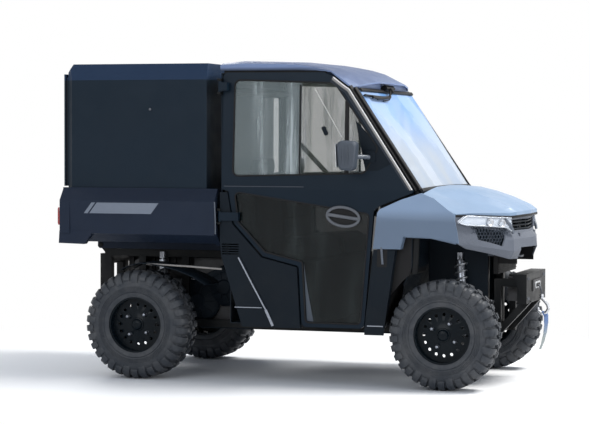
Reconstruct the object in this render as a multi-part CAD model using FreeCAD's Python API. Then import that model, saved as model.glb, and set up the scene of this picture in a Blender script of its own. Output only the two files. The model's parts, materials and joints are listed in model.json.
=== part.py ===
"""Compact side-by-side utility vehicle with a hard cab, a dump bed and a tall folded-sheet cargo box.

Millimetres. +X is forward, +Y is the driver's left, +Z is up. The origin is on the ground, on the centre
plane, midway between the rearmost and foremost points.
"""
import FreeCAD, Part
import math
import os

V = FreeCAD.Vector

# Wheels and running gear
FRONT_AXLE_X = 952.0
WHEELBASE = 1854.0
REAR_AXLE_X = FRONT_AXLE_X - WHEELBASE
# radius, width, half track
FRONT_TYRE = (313.0, 203.0, 607.0)
REAR_TYRE = (320.0, 254.0, 585.0)
LUG_HEIGHT = 15.0
LUG_COUNT = 18
LUG_SHARE = 0.62
BEAD_RADIUS = 160.0
RIM_LIP = 9.0
RIM_WALL = 6.0
RIM_HOLES = 16
RIM_HOLE_R = 9.0
RIM_HOLE_CIRCLE_R = 117.0
HUB_R = 52.0
SPINDLE_R = 14.0
RUN_CLEARANCE = 0.05
FIT_GAP = 0.3
MOVE_GAP = 6.0
KINGPIN_IN = 97.0
KINGPIN_R = 10.0

# Chassis
RAIL_Y = 210.0
RAIL_SIZE = 44.0
RAIL_OUT_Y = RAIL_Y + RAIL_SIZE / 2
RAIL_Z = 300.0
RAIL_REAR_X = REAR_AXLE_X - 388
RAIL_FRONT_X = 1150.0
DECK_Z = 742.0
SKID_THICKNESS = 6.0
ARM_TUBE_R = 14.0
ARM_LOWER_Z = 225.0
ARM_UPPER_Z = 405.0
ARM_SPREAD = 140.0

# Cab
DOOR_OUT_Y = 640.0
DOOR_THICKNESS = 28.0
BELT_Z = 1125.0
PILLAR_TUBE_R = 22.0
GLASS = 6.0
PANEL = 5.0
COWL_X = 811.0
COWL_Z = 1120.0
SCREEN_TOP_X = 436.0
SCREEN_TOP_Z = 1698.0
FLOOR_Z = 340.0
ROOF_SHEET = 10.0

# Body shoulders
SIDE_SKIN_Y = 652.0
FENDER_Y = 662.0
SILL_Z = 300.0

# Bed and cargo box
BED_FRONT_X = -410.0
BED_SKIRT_Z = 850.0
BED_RIDGE_Z = 1050.0
BED_RAIL_Z = 1122.0
BED_RIDGE_Y = 690.0
BED_RAIL_Y = 632.0
BOX_Y = 622.0
BOX_FRONT_X = -482.0
BOX_REAR_X = REAR_AXLE_X - 476
BOX_TOP_Z = 1858.0
BOX_CHAMFER = 96.0
BOX_SHEET = 20.0
PIVOT_X = REAR_AXLE_X - 416
PIVOT_Z = 764.0
PIVOT_R = 14.0
STEER_LOCK = 28.0
TYRE_MARGIN = 12.0
REAR_CARRIER_IN = 150.0
DECK_FRONT_X = -344.0
SEAT_Z = 730.0
SEAT_FRONT_X = 185.0
SEAT_Y = 300.0
SEAT_HALF = 258.0
WHEEL_Y = 300.0
COLUMN_TOP = (430.0, 300.0, 1075.0)
A_FOOT = (787.0, 580.0, 1104.0)
A_HEAD = (412.0, 550.0, 1683.0)
DOOR_LEAN = 2.2
HINGE_X = -386.0
HINGE_Y = 662.0
HINGE_R = 9.0
HINGE_PIN_R = 5.0
HINGE_Z = (1720.0, 965.0)
TAILGATE_FRONT_X = REAR_AXLE_X - 452
GATE_X = TAILGATE_FRONT_X - 16
GATE_Z = 850.0
GATE_PIN_R = 7.0
HATCH_X = BOX_REAR_X - 24
HATCH_Z = 1815.0
HITCH_X = RAIL_REAR_X - 110
ENGINE_REAR_X = REAR_AXLE_X + 172
ENGINE_FRONT_X = DECK_FRONT_X - 4
MUFFLER_X = REAR_AXLE_X - 178
BOX_CORNER = 42.0


def box(x_low, x_high, y_low, y_high, z_low, z_high):
    return Part.makeBox(x_high - x_low, y_high - y_low, z_high - z_low, V(x_low, y_low, z_low))


def prism_xz(outline, y_low, y_high):
    """Solid with this side outline of (x, z) points, from y_low to y_high."""
    points = [V(x, y_low, z) for x, z in outline]
    face = Part.Face(Part.makePolygon(points + [points[0]]))
    return face.extrude(V(0, y_high - y_low, 0))


def prism_yz(outline, x_low, x_high):
    """Solid with this front outline of (y, z) points, from x_low to x_high."""
    points = [V(x_low, y, z) for y, z in outline]
    face = Part.Face(Part.makePolygon(points + [points[0]]))
    return face.extrude(V(x_high - x_low, 0, 0))


def rod(start, end, radius):
    along = V(*end) - V(*start)
    return Part.makeCylinder(radius, along.Length, V(*start), along)


def bent_tube(points, radius, bend):
    """Round bar through the points, with an arc of radius bend at each inner point."""
    corners = [V(*p) for p in points]
    edges = []
    last = corners[0]
    for before, corner, after in zip(corners, corners[1:], corners[2:]):
        back = (before - corner).normalize()
        ahead = (after - corner).normalize()
        half = back.getAngle(ahead) / 2
        cut = bend / math.tan(half)
        start = corner + back * cut
        end = corner + ahead * cut
        middle_way = (back + ahead).normalize()
        middle = corner + middle_way * (bend / math.sin(half) - bend)
        edges.append(Part.LineSegment(last, start).toShape())
        edges.append(Part.Arc(start, middle, end).toShape())
        last = end
    edges.append(Part.LineSegment(last, corners[-1]).toShape())
    path = Part.Wire(edges)
    circle = Part.Circle(corners[0], corners[1] - corners[0], radius).toShape()
    return path.makePipeShell([Part.Wire(circle)], True, False)


def square_bar(start, end, size, up=(0, 0, 1)):
    """Square bar between two points."""
    a = V(*start)
    b = V(*end)
    along = (b - a).normalize()
    side = along.cross(V(*up)).normalize() * (size / 2)
    top = side.cross(along).normalize() * (size / 2)
    points = [a + side + top, a - side + top, a - side - top, a + side - top]
    face = Part.Face(Part.makePolygon(points + [points[0]]))
    return face.extrude(b - a)


def loft(sections):
    """Ruled solid through closed sections, each a list of 3-D points."""
    wires = [Part.makePolygon([V(*p) for p in s] + [V(*s[0])]) for s in sections]
    return Part.makeLoft(wires, True, True)


def mirrored(shape):
    return shape.mirror(V(0, 0, 0), V(0, 1, 0))


def both(shape):
    """The piece and its mirror image on the other side, as two solids."""
    return Part.makeCompound([shape, mirrored(shape)])


def fused(*shapes):
    return shapes[0].multiFuse(list(shapes[1:])).removeSplitter()


def rounded(outline, radii):
    """Closed wire in (x, z) with an arc at each corner whose radius isn't 0."""
    n = len(outline)
    edges = []
    starts = []
    ends = []
    middles = []
    for i in range(n):
        corner = V(outline[i][0], 0, outline[i][1])
        before = V(outline[i - 1][0], 0, outline[i - 1][1])
        after = V(outline[(i + 1) % n][0], 0, outline[(i + 1) % n][1])
        radius = radii.get(i, 0)
        if not radius:
            starts.append(corner)
            ends.append(corner)
            middles.append(None)
            continue
        back = (before - corner).normalize()
        ahead = (after - corner).normalize()
        half = back.getAngle(ahead) / 2
        cut = radius / math.tan(half)
        starts.append(corner + back * cut)
        ends.append(corner + ahead * cut)
        middles.append(corner + (back + ahead).normalize() * (radius / math.sin(half) - radius))
    for i in range(n):
        if middles[i] is not None:
            edges.append(Part.Arc(starts[i], middles[i], ends[i]).toShape())
        edges.append(Part.LineSegment(ends[i], starts[(i + 1) % n]).toShape())
    return Part.Wire(edges)


def plate_xz(outline, radii, y_low, y_high):
    face = Part.Face(rounded(outline, radii))
    face.translate(V(0, y_low, 0))
    return face.extrude(V(0, y_high - y_low, 0))


def revolved(profile, centre):
    """Solid of revolution about the line along Y through centre, from (radius, y) points."""
    points = [V(centre[0] + r, centre[1] + y, centre[2]) for r, y in profile]
    face = Part.Face(Part.makePolygon(points + [points[0]]))
    return face.revolve(V(*centre), V(0, 1, 0), 360)


# Wheels


def tyre(size, centre):
    """Carcass with two staggered rows of shoulder lugs, trimmed to a rounded tread."""
    radius, width, _ = size
    half = width / 2
    tread_r = radius - LUG_HEIGHT
    bead_y = half - 24
    carcass = revolved(
        [
            (BEAD_RADIUS, -bead_y),
            (BEAD_RADIUS + 13, -bead_y),
            (BEAD_RADIUS + 20, -half + 9),
            (tread_r - 78, -half),
            (tread_r - 26, -half + 6),
            (tread_r, -half * 0.72),
            (tread_r, half * 0.72),
            (tread_r - 26, half - 6),
            (tread_r - 78, half),
            (BEAD_RADIUS + 20, half - 9),
            (BEAD_RADIUS + 13, bead_y),
            (BEAD_RADIUS, bead_y),
        ],
        centre,
    )
    envelope = revolved(
        [
            (tread_r - 34, -half),
            (radius - 38, -half),
            (radius, -half * 0.62),
            (radius, half * 0.62),
            (radius - 38, half),
            (tread_r - 34, half),
        ],
        centre,
    )
    pitch = 2 * math.pi / LUG_COUNT
    rows = []
    for row, side in enumerate((-1, 1)):
        points = []
        for n in range(LUG_COUNT):
            start = (n + row / 2) * pitch
            for angle, r in (
                (start, tread_r - 30),
                (start, radius + 5),
                (start + pitch * LUG_SHARE, radius + 5),
                (start + pitch * LUG_SHARE, tread_r - 30),
            ):
                points.append((centre[0] + r * math.cos(angle), centre[2] + r * math.sin(angle)))
        inner = centre[1] + side * half * 0.1
        outer = centre[1] + side * (half + 1)
        rows.append(prism_xz(points, min(inner, outer), max(inner, outer)))
    hollow = Part.makeCylinder(tread_r - 34, width + 20, V(centre[0], centre[1] - half - 10, centre[2]), V(0, 1, 0))
    lugs = [row.common(envelope).cut(hollow) for row in rows]
    return carcass.fuse(lugs).removeSplitter()


def rim(size, centre, side):
    """Cast wheel: barrel with two lips, dished disc with a ring of holes, hub boss with a blind bore."""
    _, width, _ = size
    seat = width / 2 - 24
    inner = BEAD_RADIUS - RIM_WALL
    outer_lip = seat + RIM_LIP

    def y(value):
        return value * side

    seat_r = BEAD_RADIUS - FIT_GAP
    barrel = revolved(
        [
            (seat_r, y(-outer_lip)),
            (BEAD_RADIUS + RIM_LIP, y(-outer_lip)),
            (BEAD_RADIUS + RIM_LIP, y(-seat - FIT_GAP)),
            (seat_r, y(-seat - FIT_GAP)),
            (seat_r, y(seat + FIT_GAP)),
            (BEAD_RADIUS + RIM_LIP, y(seat + FIT_GAP)),
            (BEAD_RADIUS + RIM_LIP, y(outer_lip)),
            (inner, y(outer_lip)),
            (inner, y(-outer_lip)),
        ],
        centre,
    )
    disc_y = seat - 46
    disc = revolved(
        [
            (0, y(disc_y + 24)),
            (34, y(disc_y + 24)),
            (38, y(disc_y + 16)),
            (HUB_R + 24, y(disc_y + 10)),
            (inner + 1, y(disc_y)),
            (inner + 1, y(disc_y - 10)),
            (HUB_R + 20, y(disc_y - 2)),
            (HUB_R, y(disc_y - 30)),
            (SPINDLE_R + RUN_CLEARANCE, y(disc_y - 30)),
            (SPINDLE_R + RUN_CLEARANCE, y(disc_y + 12)),
            (0, y(disc_y + 12)),
        ],
        centre,
    )
    whole = barrel.fuse(disc)
    holes = []
    for n in range(RIM_HOLES):
        angle = 2 * math.pi * n / RIM_HOLES
        x = centre[0] + RIM_HOLE_CIRCLE_R * math.cos(angle)
        z = centre[2] + RIM_HOLE_CIRCLE_R * math.sin(angle)
        holes.append(Part.makeCylinder(RIM_HOLE_R, width, V(x, centre[1] - width / 2, z), V(0, 1, 0)))
    return whole.cut(holes)


def disc_face_y(size):
    """Distance of the hub boss's inner face from the wheel's centre plane, outwards."""
    return size[1] / 2 - 24 - 46 - 30


def wheel_centre(size, axle_x, side):
    return (axle_x, side * size[2], size[0])


def knuckle(side):
    """Front upright with its spindle, two kingpin ends and a steering arm."""
    x, y, z = wheel_centre(FRONT_TYRE, FRONT_AXLE_X, side)
    pin_y = y - side * KINGPIN_IN
    face_y = y + side * (disc_face_y(FRONT_TYRE) - MOVE_GAP)
    upright = box(x - 24, x + 24, min(pin_y - side * 20, pin_y + side * 26), max(pin_y - side * 20, pin_y + side * 26),
                  ARM_LOWER_Z + 22, ARM_UPPER_Z - 22)
    flange = rod((x, pin_y + side * 20, z), (x, face_y, z), 40)
    spindle = rod((x, pin_y, z), (x, face_y + side * 44, z), SPINDLE_R)
    pins = [rod((x, pin_y, ARM_LOWER_Z - 16), (x, pin_y, ARM_UPPER_Z + 16), KINGPIN_R)]
    arm = box(x - 110, x - 20, pin_y - 12, pin_y + 12, z - 34, z - 18)
    return fused(upright, flange, spindle, *pins, arm)


def steered_space(side):
    """Room that a front tyre takes up while it's steered from lock to lock, with a margin."""
    x, y, z = wheel_centre(FRONT_TYRE, FRONT_AXLE_X, side)
    pin = V(x, y - side * KINGPIN_IN, z)
    half = FRONT_TYRE[1] / 2 + TYRE_MARGIN
    spaces = []
    for angle in (-STEER_LOCK, -STEER_LOCK / 2, 0, STEER_LOCK / 2, STEER_LOCK):
        space = Part.makeCylinder(FRONT_TYRE[0] + TYRE_MARGIN, 2 * half, V(x, y - half, z), V(0, 1, 0))
        space.rotate(pin, V(0, 0, 1), angle)
        spaces.append(space)
    return spaces


def rear_space(side):
    x, y, z = wheel_centre(REAR_TYRE, REAR_AXLE_X, side)
    half = REAR_TYRE[1] / 2 + TYRE_MARGIN
    return [Part.makeCylinder(REAR_TYRE[0] + TYRE_MARGIN, 2 * half, V(x, y - half, z), V(0, 1, 0))]


def wheel_spaces():
    return steered_space(1) + steered_space(-1) + rear_space(1) + rear_space(-1)


def shell(sections, offset, mirror=True):
    """Ruled strip through (y, line) sections; offset is the (x, z) step from the outer to the inner face."""
    rings = []
    for y, line in sections:
        back = [(x + offset[0], z + offset[1]) for x, z in reversed(line)]
        rings.append([(x, y, z) for x, z in line + back])
    return loft(rings)


def symmetric(sections):
    """Sections for y from 0 outwards, repeated on the other side."""
    right = [(-y, line) for y, line in reversed(sections) if y]
    return right + sections


# Fixed pieces


def build_chassis():
    h = RAIL_SIZE / 2
    bars = []
    for side in (-1, 1):
        y = side * RAIL_Y
        bars.append(box(RAIL_REAR_X, RAIL_FRONT_X, y - h, y + h, RAIL_Z - h, RAIL_Z + h))
        bars.append(box(RAIL_REAR_X, DECK_FRONT_X, y - h, y + h, DECK_Z - 2 * h, DECK_Z))
        for x in (RAIL_REAR_X + h, REAR_AXLE_X - ARM_SPREAD, REAR_AXLE_X + ARM_SPREAD, DECK_FRONT_X - h):
            bars.append(box(x - h, x + h, y - h, y + h, RAIL_Z, DECK_Z - h))
        for x in (FRONT_AXLE_X - ARM_SPREAD, FRONT_AXLE_X + ARM_SPREAD):
            bars.append(box(x - h, x + h, y - h, y + h, RAIL_Z, 760))
        bars.append(box(FRONT_AXLE_X - ARM_SPREAD - h, FRONT_AXLE_X + ARM_SPREAD + h, y - h, y + h, 740, 780))
    for x in (RAIL_REAR_X + h, -640, -300, 60, 450, FRONT_AXLE_X - ARM_SPREAD, RAIL_FRONT_X - h):
        bars.append(box(x - h, x + h, -RAIL_Y, RAIL_Y, RAIL_Z - 18, RAIL_Z + 18))
    for x in (RAIL_REAR_X + h, DECK_FRONT_X - h):
        bars.append(box(x - h, x + h, -RAIL_Y, RAIL_Y, DECK_Z - 40, DECK_Z - 4))
    bars.append(box(FRONT_AXLE_X + ARM_SPREAD - h, FRONT_AXLE_X + ARM_SPREAD + h, -RAIL_Y, RAIL_Y, 742, 778))
    # Bed pivot ears with their pins
    for side in (-1, 1):
        low, high = sorted((side * 170, side * 184))
        bars.append(plate_xz([(RAIL_REAR_X + 4, 690), (RAIL_REAR_X + 4, 738), (PIVOT_X + 10, PIVOT_Z + 20),
                              (PIVOT_X - 20, PIVOT_Z + 20), (PIVOT_X - 20, PIVOT_Z - 16)], {}, low, high))
        bars.append(rod((PIVOT_X, side * 176, PIVOT_Z), (PIVOT_X, side * 232, PIVOT_Z), PIVOT_R))
    # Hitch bracket with its draw-bar socket
    bars.append(box(HITCH_X, RAIL_REAR_X + 10, -45, 45, 470, 500))
    bars.append(box(HITCH_X, HITCH_X + 55, -45, 45, 500, 700))
    bars.append(box(HITCH_X + 55, RAIL_REAR_X + 10, -45, 45, 660, 700))
    bars.append(box(RAIL_REAR_X, RAIL_REAR_X + 2 * h, -232, 232, 650, 700))
    bars.append(box(RAIL_REAR_X, RAIL_REAR_X + 2 * h, -45, 45, 300, 660))
    frame = fused(*bars)
    return frame.cut(box(HITCH_X - 10, HITCH_X + 105, -25.5, 25.5, 540, 591))


def build_suspension(frame):
    solids = []
    for side in (-1, 1):
        for size, axle_x, steered in ((FRONT_TYRE, FRONT_AXLE_X, True), (REAR_TYRE, REAR_AXLE_X, False)):
            x, y, z = wheel_centre(size, axle_x, side)
            pin_y = y - side * (KINGPIN_IN if steered else REAR_CARRIER_IN)
            pieces = []
            for low_z, root_z in ((ARM_LOWER_Z, RAIL_Z), (ARM_UPPER_Z, ARM_UPPER_Z + 25)):
                legs = [rod((x + way * 10, pin_y - side * 12, low_z),
                            (x + way * ARM_SPREAD, side * RAIL_Y, root_z), ARM_TUBE_R) for way in (-1, 1)]
                eye = rod((x, pin_y, low_z - 15), (x, pin_y, low_z + 15), 26)
                arm = fused(eye, *legs).cut(frame)
                if steered:
                    arm = arm.cut(rod((x, pin_y, low_z - 30), (x, pin_y, low_z + 30), KINGPIN_R + RUN_CLEARANCE))
                pieces.append(max(arm.Solids, key=lambda s: s.Volume))
            if steered:
                solids += pieces
                continue
            face_y = y + side * (disc_face_y(size) - MOVE_GAP)
            low, high = sorted((pin_y - side * 22, pin_y + side * 22))
            carrier = box(x - 30, x + 30, low, high, ARM_LOWER_Z - 15, ARM_UPPER_Z + 15)
            flange = rod((x, pin_y, z), (x, face_y, z), 40)
            spindle = rod((x, pin_y, z), (x, face_y + side * 44, z), SPINDLE_R)
            solids.append(fused(carrier, flange, spindle, *pieces))
    return Part.makeCompound(solids)


def build_shocks(frame, arms):
    """Four coil-over units from the lower arms to the frame."""
    solids = []
    for side in (-1, 1):
        for axle_x, foot_y, head_z in ((FRONT_AXLE_X, 383, 750), (REAR_AXLE_X, 338, 720)):
            foot = (axle_x + 62, side * foot_y, 256)
            head = (axle_x, side * 252, head_z)
            foot_v = V(*foot)
            way = (V(*head) - foot_v)
            length = way.Length
            way.normalize()
            def at(s):
                p = foot_v + way * s
                return (p.x, p.y, p.z)
            unit = fused(rod(at(-14), at(length), 8), rod(at(20), at(length * 0.5), 16), rod(at(length * 0.16), at(length - 40), 24),
                         box(head[0] - 14, head[0] + 14, *sorted((side * 232, side * 262)), head[2] - 30, head[2] + 10))
            unit = unit.cut(frame).cut(arms)
            solids.append(max(unit.Solids, key=lambda s: s.Volume))
    return Part.makeCompound(solids)


def build_drivetrain(frame):
    """Rear gearcase, front gearcase, shafts towards the wheels, and the silencer."""
    solids = []
    for size, axle_x, stop in ((REAR_TYRE, REAR_AXLE_X, 585 - REAR_CARRIER_IN - 22), (FRONT_TYRE, FRONT_AXLE_X, 470)):
        z = size[0]
        case = fused(box(axle_x - 90, axle_x + 90, -90, 90, RAIL_Z - 22, z + 80),
                     rod((axle_x, -120, z), (axle_x, 120, z), 34))
        shafts = [case]
        for side in (-1, 1):
            shafts.append(rod((axle_x, side * 100, z + 6), (axle_x, side * stop, z), 13))
            shafts.append(rod((axle_x, side * 118, z + 5), (axle_x, side * 190, z + 4), 32))
            shafts.append(rod((axle_x, side * (stop - 60), z + 1), (axle_x, side * stop, z), 30))
        solids.append(fused(*shafts).cut(frame))
    m = MUFFLER_X
    muffler = fused(rod((m, -150, 610), (m, 150, 610), 70),
                    rod((m, 100, 640), (m - 150, 100, 640), 20),
                    rod((m, -120, 560), (m, -120, 330), 16),
                    box(m - 12, m + 12, -188, 188, 700, 716), box(m - 8, m + 8, -60, 60, 640, 702)).cut(frame)
    solids.append(muffler)
    return Part.makeCompound([max(s.Solids, key=lambda p: p.Volume) for s in solids])


def cage_side(side):
    def p(x, y, z):
        return (x, side * y, z)
    main_tube = bent_tube([p(760, 576, 650), p(*A_FOOT), p(*A_HEAD), p(290, 548, 1756), p(-366, 548, 1776),
                           p(-366, 580, 1120), p(-366, 580, 786)], PILLAR_TUBE_R, 46)
    return main_tube


def build_cage():
    tubes = [cage_side(1), cage_side(-1)]
    tubes.append(rod((-366, -552, 1700), (-366, 552, 1700), 20))
    tubes.append(rod((410, -548, 1676), (410, 548, 1676), 18))
    tubes.append(rod((-366, -576, 1190), (-366, 576, 1190), 18))
    tubes.append(rod((784, -578, 1080), (784, 578, 1080), 18))
    tubes.append(box(-388, -344, -612, 612, DECK_Z, 786))
    for side in (-1, 1):
        tubes.append(rod((-366, side * 580, 1120), (-200, side * 580, 1010), 16))
        tubes.append(rod((-200, side * 580, 1018), (-200, side * 580, SEAT_Z - 20), 16))
    return fused(*tubes)


def build_tub(spaces, frame):
    """Floor, toe board, dash wall, seat box sides and sills."""
    t = PANEL
    floor = box(-340, 590, -604, 604, FLOOR_Z, FLOOR_Z + t)
    toe = prism_xz([(590, FLOOR_Z), (590, FLOOR_Z + t), (752, 690), (757, 690)], -604, 604)
    wall = prism_xz([(752, 686), (757, 686), (757, 1100), (752, 1100)], -604, 604)
    feet = box(-340, 590, -230, 230, RAIL_Z + 22, FLOOR_Z)
    rear = box(-340, -340 + t, -604, 604, FLOOR_Z, SEAT_Z - 20)
    front = box(SEAT_FRONT_X - t, SEAT_FRONT_X, -604, 604, FLOOR_Z, SEAT_Z - 20)
    top = box(-340, SEAT_FRONT_X, -604, 604, SEAT_Z - 20 - t, SEAT_Z - 20)
    top = top.cut(box(-330, SEAT_FRONT_X - 60, -170, 170, 400, SEAT_Z))
    cowl = box(752, 836, -596, 596, 1094, 1100)
    sills = [box(-230, 480, *sorted((side * 600, side * SIDE_SKIN_Y)), SILL_Z, 326) for side in (-1, 1)]
    tub = fused(floor, toe, wall, cowl, feet, rear, front, top, *sills)
    return tub.cut(spaces)


def build_side_panels(spaces):
    """Black lower quarters behind and in front of each door, with the pillar skins."""
    solids = []
    for side in (-1, 1):
        low, high = sorted((side * 604, side * SIDE_SKIN_Y))
        quarter = prism_xz([(-388, 1106), (-388, 831), (-379, 732), (-250, 326), (102, 326), (82, 678), (-133, 730),
                            (-312, 922), (-342, 1106)], low, high)
        low_in, high_in = sorted((side * 604, side * 646))
        hollow = prism_xz([(-382, 1100), (-382, 831), (-373, 732), (-246, 332), (96, 332), (76, 672), (-137, 724),
                           (-318, 919), (-347, 1100)], low_in, high_in)
        strip = prism_xz([(488, 332), (488, 300), (600, 300), (668, 787), (540, 787)], low, high)
        strip_in = prism_xz([(494, 338), (494, 300), (594, 300), (661, 781), (546, 781)], low_in, high_in)
        slots = [box(-376, -272, *sorted((side * 640, side * 660)), z, z + 7) for z in range(744, 812, 14)]
        ridge = prism_xz([(-274, 733), (-109, 429), (-66, 332), (-54, 332), (-98, 433), (-264, 738)], *sorted((side * 648, side * 657)))
        crease = box(-296, -134, *sorted((side * 648, side * 656)), 434, 443)
        solids.append(fused(quarter.cut(hollow), ridge, crease).cut(slots))
        solids.append(strip.cut(strip_in).cut(spaces))
        liner = prism_xz([(FRONT_AXLE_X - 162, 452), (FRONT_AXLE_X + 162, 452), (FRONT_AXLE_X + 162, 850), (FRONT_AXLE_X + 60, 960),
                          (FRONT_AXLE_X - 190, 960), (FRONT_AXLE_X - 190, 560)], *sorted((side * RAIL_OUT_Y, side * (RAIL_OUT_Y + 4))))
        solids.append(liner)
    return Part.makeCompound(solids)


# distance from the centre plane, (x, z) points from the windscreen to the nose
HOOD_LINES = [
    (0, [(826, 1146), (957, 1138), (1057, 1116), (1172, 1080), (1278, 1036), (1318, 1006), (1318, 984)]),
    (300, [(826, 1142), (950, 1132), (1048, 1109), (1152, 1075), (1256, 1030), (1294, 1002), (1294, 982)]),
    (345, [(826, 1139), (944, 1120), (1034, 1090), (1128, 1052), (1222, 1014), (1268, 996), (1268, 979)]),
    (450, [(826, 1130), (902, 1098), (985, 1060), (1062, 1034), (1140, 1010), (1188, 998), (1186, 984)]),
    (560, [(826, 1118), (896, 1092), (956, 1054), (1008, 1022), (1050, 1008), (1088, 1000), (1084, 990)]),
    (645, [(826, 1108), (888, 1083), (938, 1046), (978, 1017), (1002, 1004), (1018, 996), (1014, 988)]),
]

# distance from the centre plane, (x, z) points from the top edge to the bottom edge
FASCIA_LINES = [
    (0, [(1308, 980), (1308, 962), (1318, 882), (1346, 850), (1353, 800), (1337, 725)]),
    (338, [(1264, 976), (1262, 962), (1266, 882), (1285, 846), (1289, 776), (1267, 732)]),
    (480, [(1156, 980), (1150, 960), (1160, 905), (1184, 850), (1196, 800), (1182, 768)]),
    (600, [(1058, 985), (1050, 960), (1062, 905), (1074, 860), (1080, 820), (1072, 800)]),
    (650, [(1016, 984), (1018, 960), (1028, 905), (1033, 870), (1038, 845), (1040, 826)]),
]

# distance from the centre plane, then x and z of the lower and of the upper edge
LAMP_EDGES = [
    (350, 1257, 896, 1255, 966),
    (386, 1230, 917, 1228, 969),
    (480, 1160, 926, 1154, 974),
    (560, 1096, 930, 1090, 982),
    (606, 1058, 934, 1053, 984),
    (642, 1030, 944, 1027, 958),
]
LAMP_DEPTH = 15.0

# (y, z) corners of the mesh opening under each lamp, and the plane that the mesh lies in
MESH_OPENING = [(546, 918), (384, 892), (380, 866), (410, 808), (545, 850)]
MESH_INNER = (1236.0, 378.0)
MESH_OUTER = (1100.0, 552.0)
MESH_CELL = 13.0
GRILLE_OPENING = (-300, 300, 894, 956)
TOW_OPENING = (-235, 235, 690, 796)


def build_hood():
    return shell(symmetric(HOOD_LINES), (-4, -6))


def mesh_directions():
    """Direction along the right-hand mesh towards the centre, and square to it, forwards."""
    along = V(MESH_INNER[0] - MESH_OUTER[0], MESH_INNER[1] - MESH_OUTER[1], 0).normalize()
    return along, V(-along.y, along.x, 0)


def build_fascia(spaces):
    """Front skin with its lamp-side mesh openings, centre grille opening and tow opening."""
    skin = shell(symmetric(FASCIA_LINES), (-10, 0))
    y_low, y_high, z_low, z_high = GRILLE_OPENING
    skin = skin.cut(box(1250, 1400, y_low, y_high, z_low, z_high))
    y_low, y_high, z_low, z_high = TOW_OPENING
    skin = skin.cut(box(1250, 1400, y_low, y_high, z_low, z_high))
    opening = prism_yz(MESH_OPENING, 1040, 1330)
    skin = skin.cut(opening).cut(mirrored(opening))
    backing = box(1114, 1145, -240, 240, 742, 900)
    arms = [box(1145, 1300, side * 212 - 15, side * 212 + 15, 850, 880) for side in (-1, 1)]
    return fused(skin, backing, *arms)


def build_grilles():
    """Centre slats, and under each lamp a plate with a pattern of six-sided cells."""
    solids = []
    for z in (902, 922, 942):
        rings = []
        for y, x in ((-306, 1262), (0, 1300), (306, 1262)):
            rings.append([(x - 22, y, z - 4), (x, y, z - 4), (x, y, z + 4), (x - 22, y, z + 4)])
        solids.append(loft(rings))
    tie = box(1262, 1284, -9, 9, 890, 960)
    solids = [fused(tie, *solids)]
    along, out = mesh_directions()
    start = V(MESH_OUTER[0], MESH_OUTER[1], 0) - along * 12
    length = V(MESH_INNER[0] - MESH_OUTER[0], MESH_INNER[1] - MESH_OUTER[1], 0).Length + 18
    corners = [start + V(0, 0, 798), start + along * length + V(0, 0, 798), start + along * length + V(0, 0, 928), start + V(0, 0, 928)]
    plate = Part.Face(Part.makePolygon(corners + [corners[0]])).extrude(out * -8)
    cells = []
    step = MESH_CELL * 2 + 5
    for row in range(5):
        for column in range(8):
            middle = start + along * (step * (column + 0.5 * (row % 2))) + V(0, 0, 806 + row * step * 0.87)
            points = [middle + along * (MESH_CELL * math.cos(math.radians(a))) + V(0, 0, MESH_CELL * math.sin(math.radians(a))) + out * 10
                      for a in range(30, 390, 60)]
            cells.append(Part.Face(Part.makePolygon(points + [points[0]])).extrude(out * -30))
    plate = plate.cut(cells)
    plate = max(plate.Solids, key=lambda s: s.Volume)
    return Part.makeCompound(solids + [plate, mirrored(plate)])


def build_headlamps():
    lamps = []
    for side in (1, -1):
        rings = []
        for y, x_low, z_low, x_high, z_high in LAMP_EDGES:
            rings.append([(x_high, side * y, z_high), (x_low, side * y, z_low),
                          (x_low + LAMP_DEPTH, side * y, z_low + 2), (x_high + LAMP_DEPTH, side * y, z_high - 3)])
        lamps.append(loft(rings))
    return Part.makeCompound(lamps)


def build_fenders(spaces):
    solids = []
    for side in (-1, 1):
        low, high = sorted((side * SIDE_SKIN_Y, side * FENDER_Y))
        skin = prism_xz([(540, 793), (564, 1000), (580, 1020), (700, 1074), (816, 1112), (890, 1084), (940, 1046),
                         (980, 1016), (1005, 1001), (1016, 988), (1016, 960), (1028, 905), (1040, 830), (880, 862),
                         (718, 867), (700, 793)], low, high)
        low, high = sorted((side * 604, side * SIDE_SKIN_Y))
        top = prism_xz([(580, 1020), (700, 1074), (816, 1112), (816, 1106), (701, 1068), (582, 1014)], low, high)
        inner = prism_xz([(700, 793), (718, 861), (880, 856), (1020, 826), (1020, 832), (880, 862), (712, 867)], low, high)
        solids.append(fused(skin, top, inner))
    return Part.makeCompound(solids)


def build_dash():
    shelf = prism_xz([(752, 1010), (752, 1120), (700, 1132), (600, 1120), (560, 1080), (570, 960), (640, 900), (752, 880)], -596, 596)
    hollow = prism_xz([(746, 1000), (746, 1110), (700, 1122), (606, 1110), (570, 1076), (580, 966), (646, 908), (746, 890)], -588, 588)
    dash = shelf.cut(hollow)
    column = rod((720, WHEEL_Y, 900), COLUMN_TOP, 20)
    return fused(dash, column)


def build_steering_wheel():
    centre = V(*COLUMN_TOP)
    way = (V(*COLUMN_TOP) - V(720, WHEEL_Y, 900)).normalize()
    rim_centre = centre + way * 46
    outward = way.cross(V(0, 1, 0)).normalize()
    section = [rim_centre + outward * (172 + 14 * math.cos(math.radians(a))) + way * (14 * math.sin(math.radians(a)))
               for a in range(0, 360, 45)]
    grip = Part.Face(Part.makePolygon(section + [section[0]])).revolve(rim_centre, way, 360)
    hub = Part.makeCylinder(34, 40, centre + way * FIT_GAP, way)
    side = V(0, 1, 0)
    down = way.cross(side).normalize()
    spokes = []
    for angle in (90, 210, 330):
        direction = side * math.cos(math.radians(angle)) + down * math.sin(math.radians(angle))
        start = centre + way * 22
        spokes.append(rod((start.x, start.y, start.z), tuple(rim_centre + direction * 172), 9))
    return fused(grip, hub, *spokes)


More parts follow.
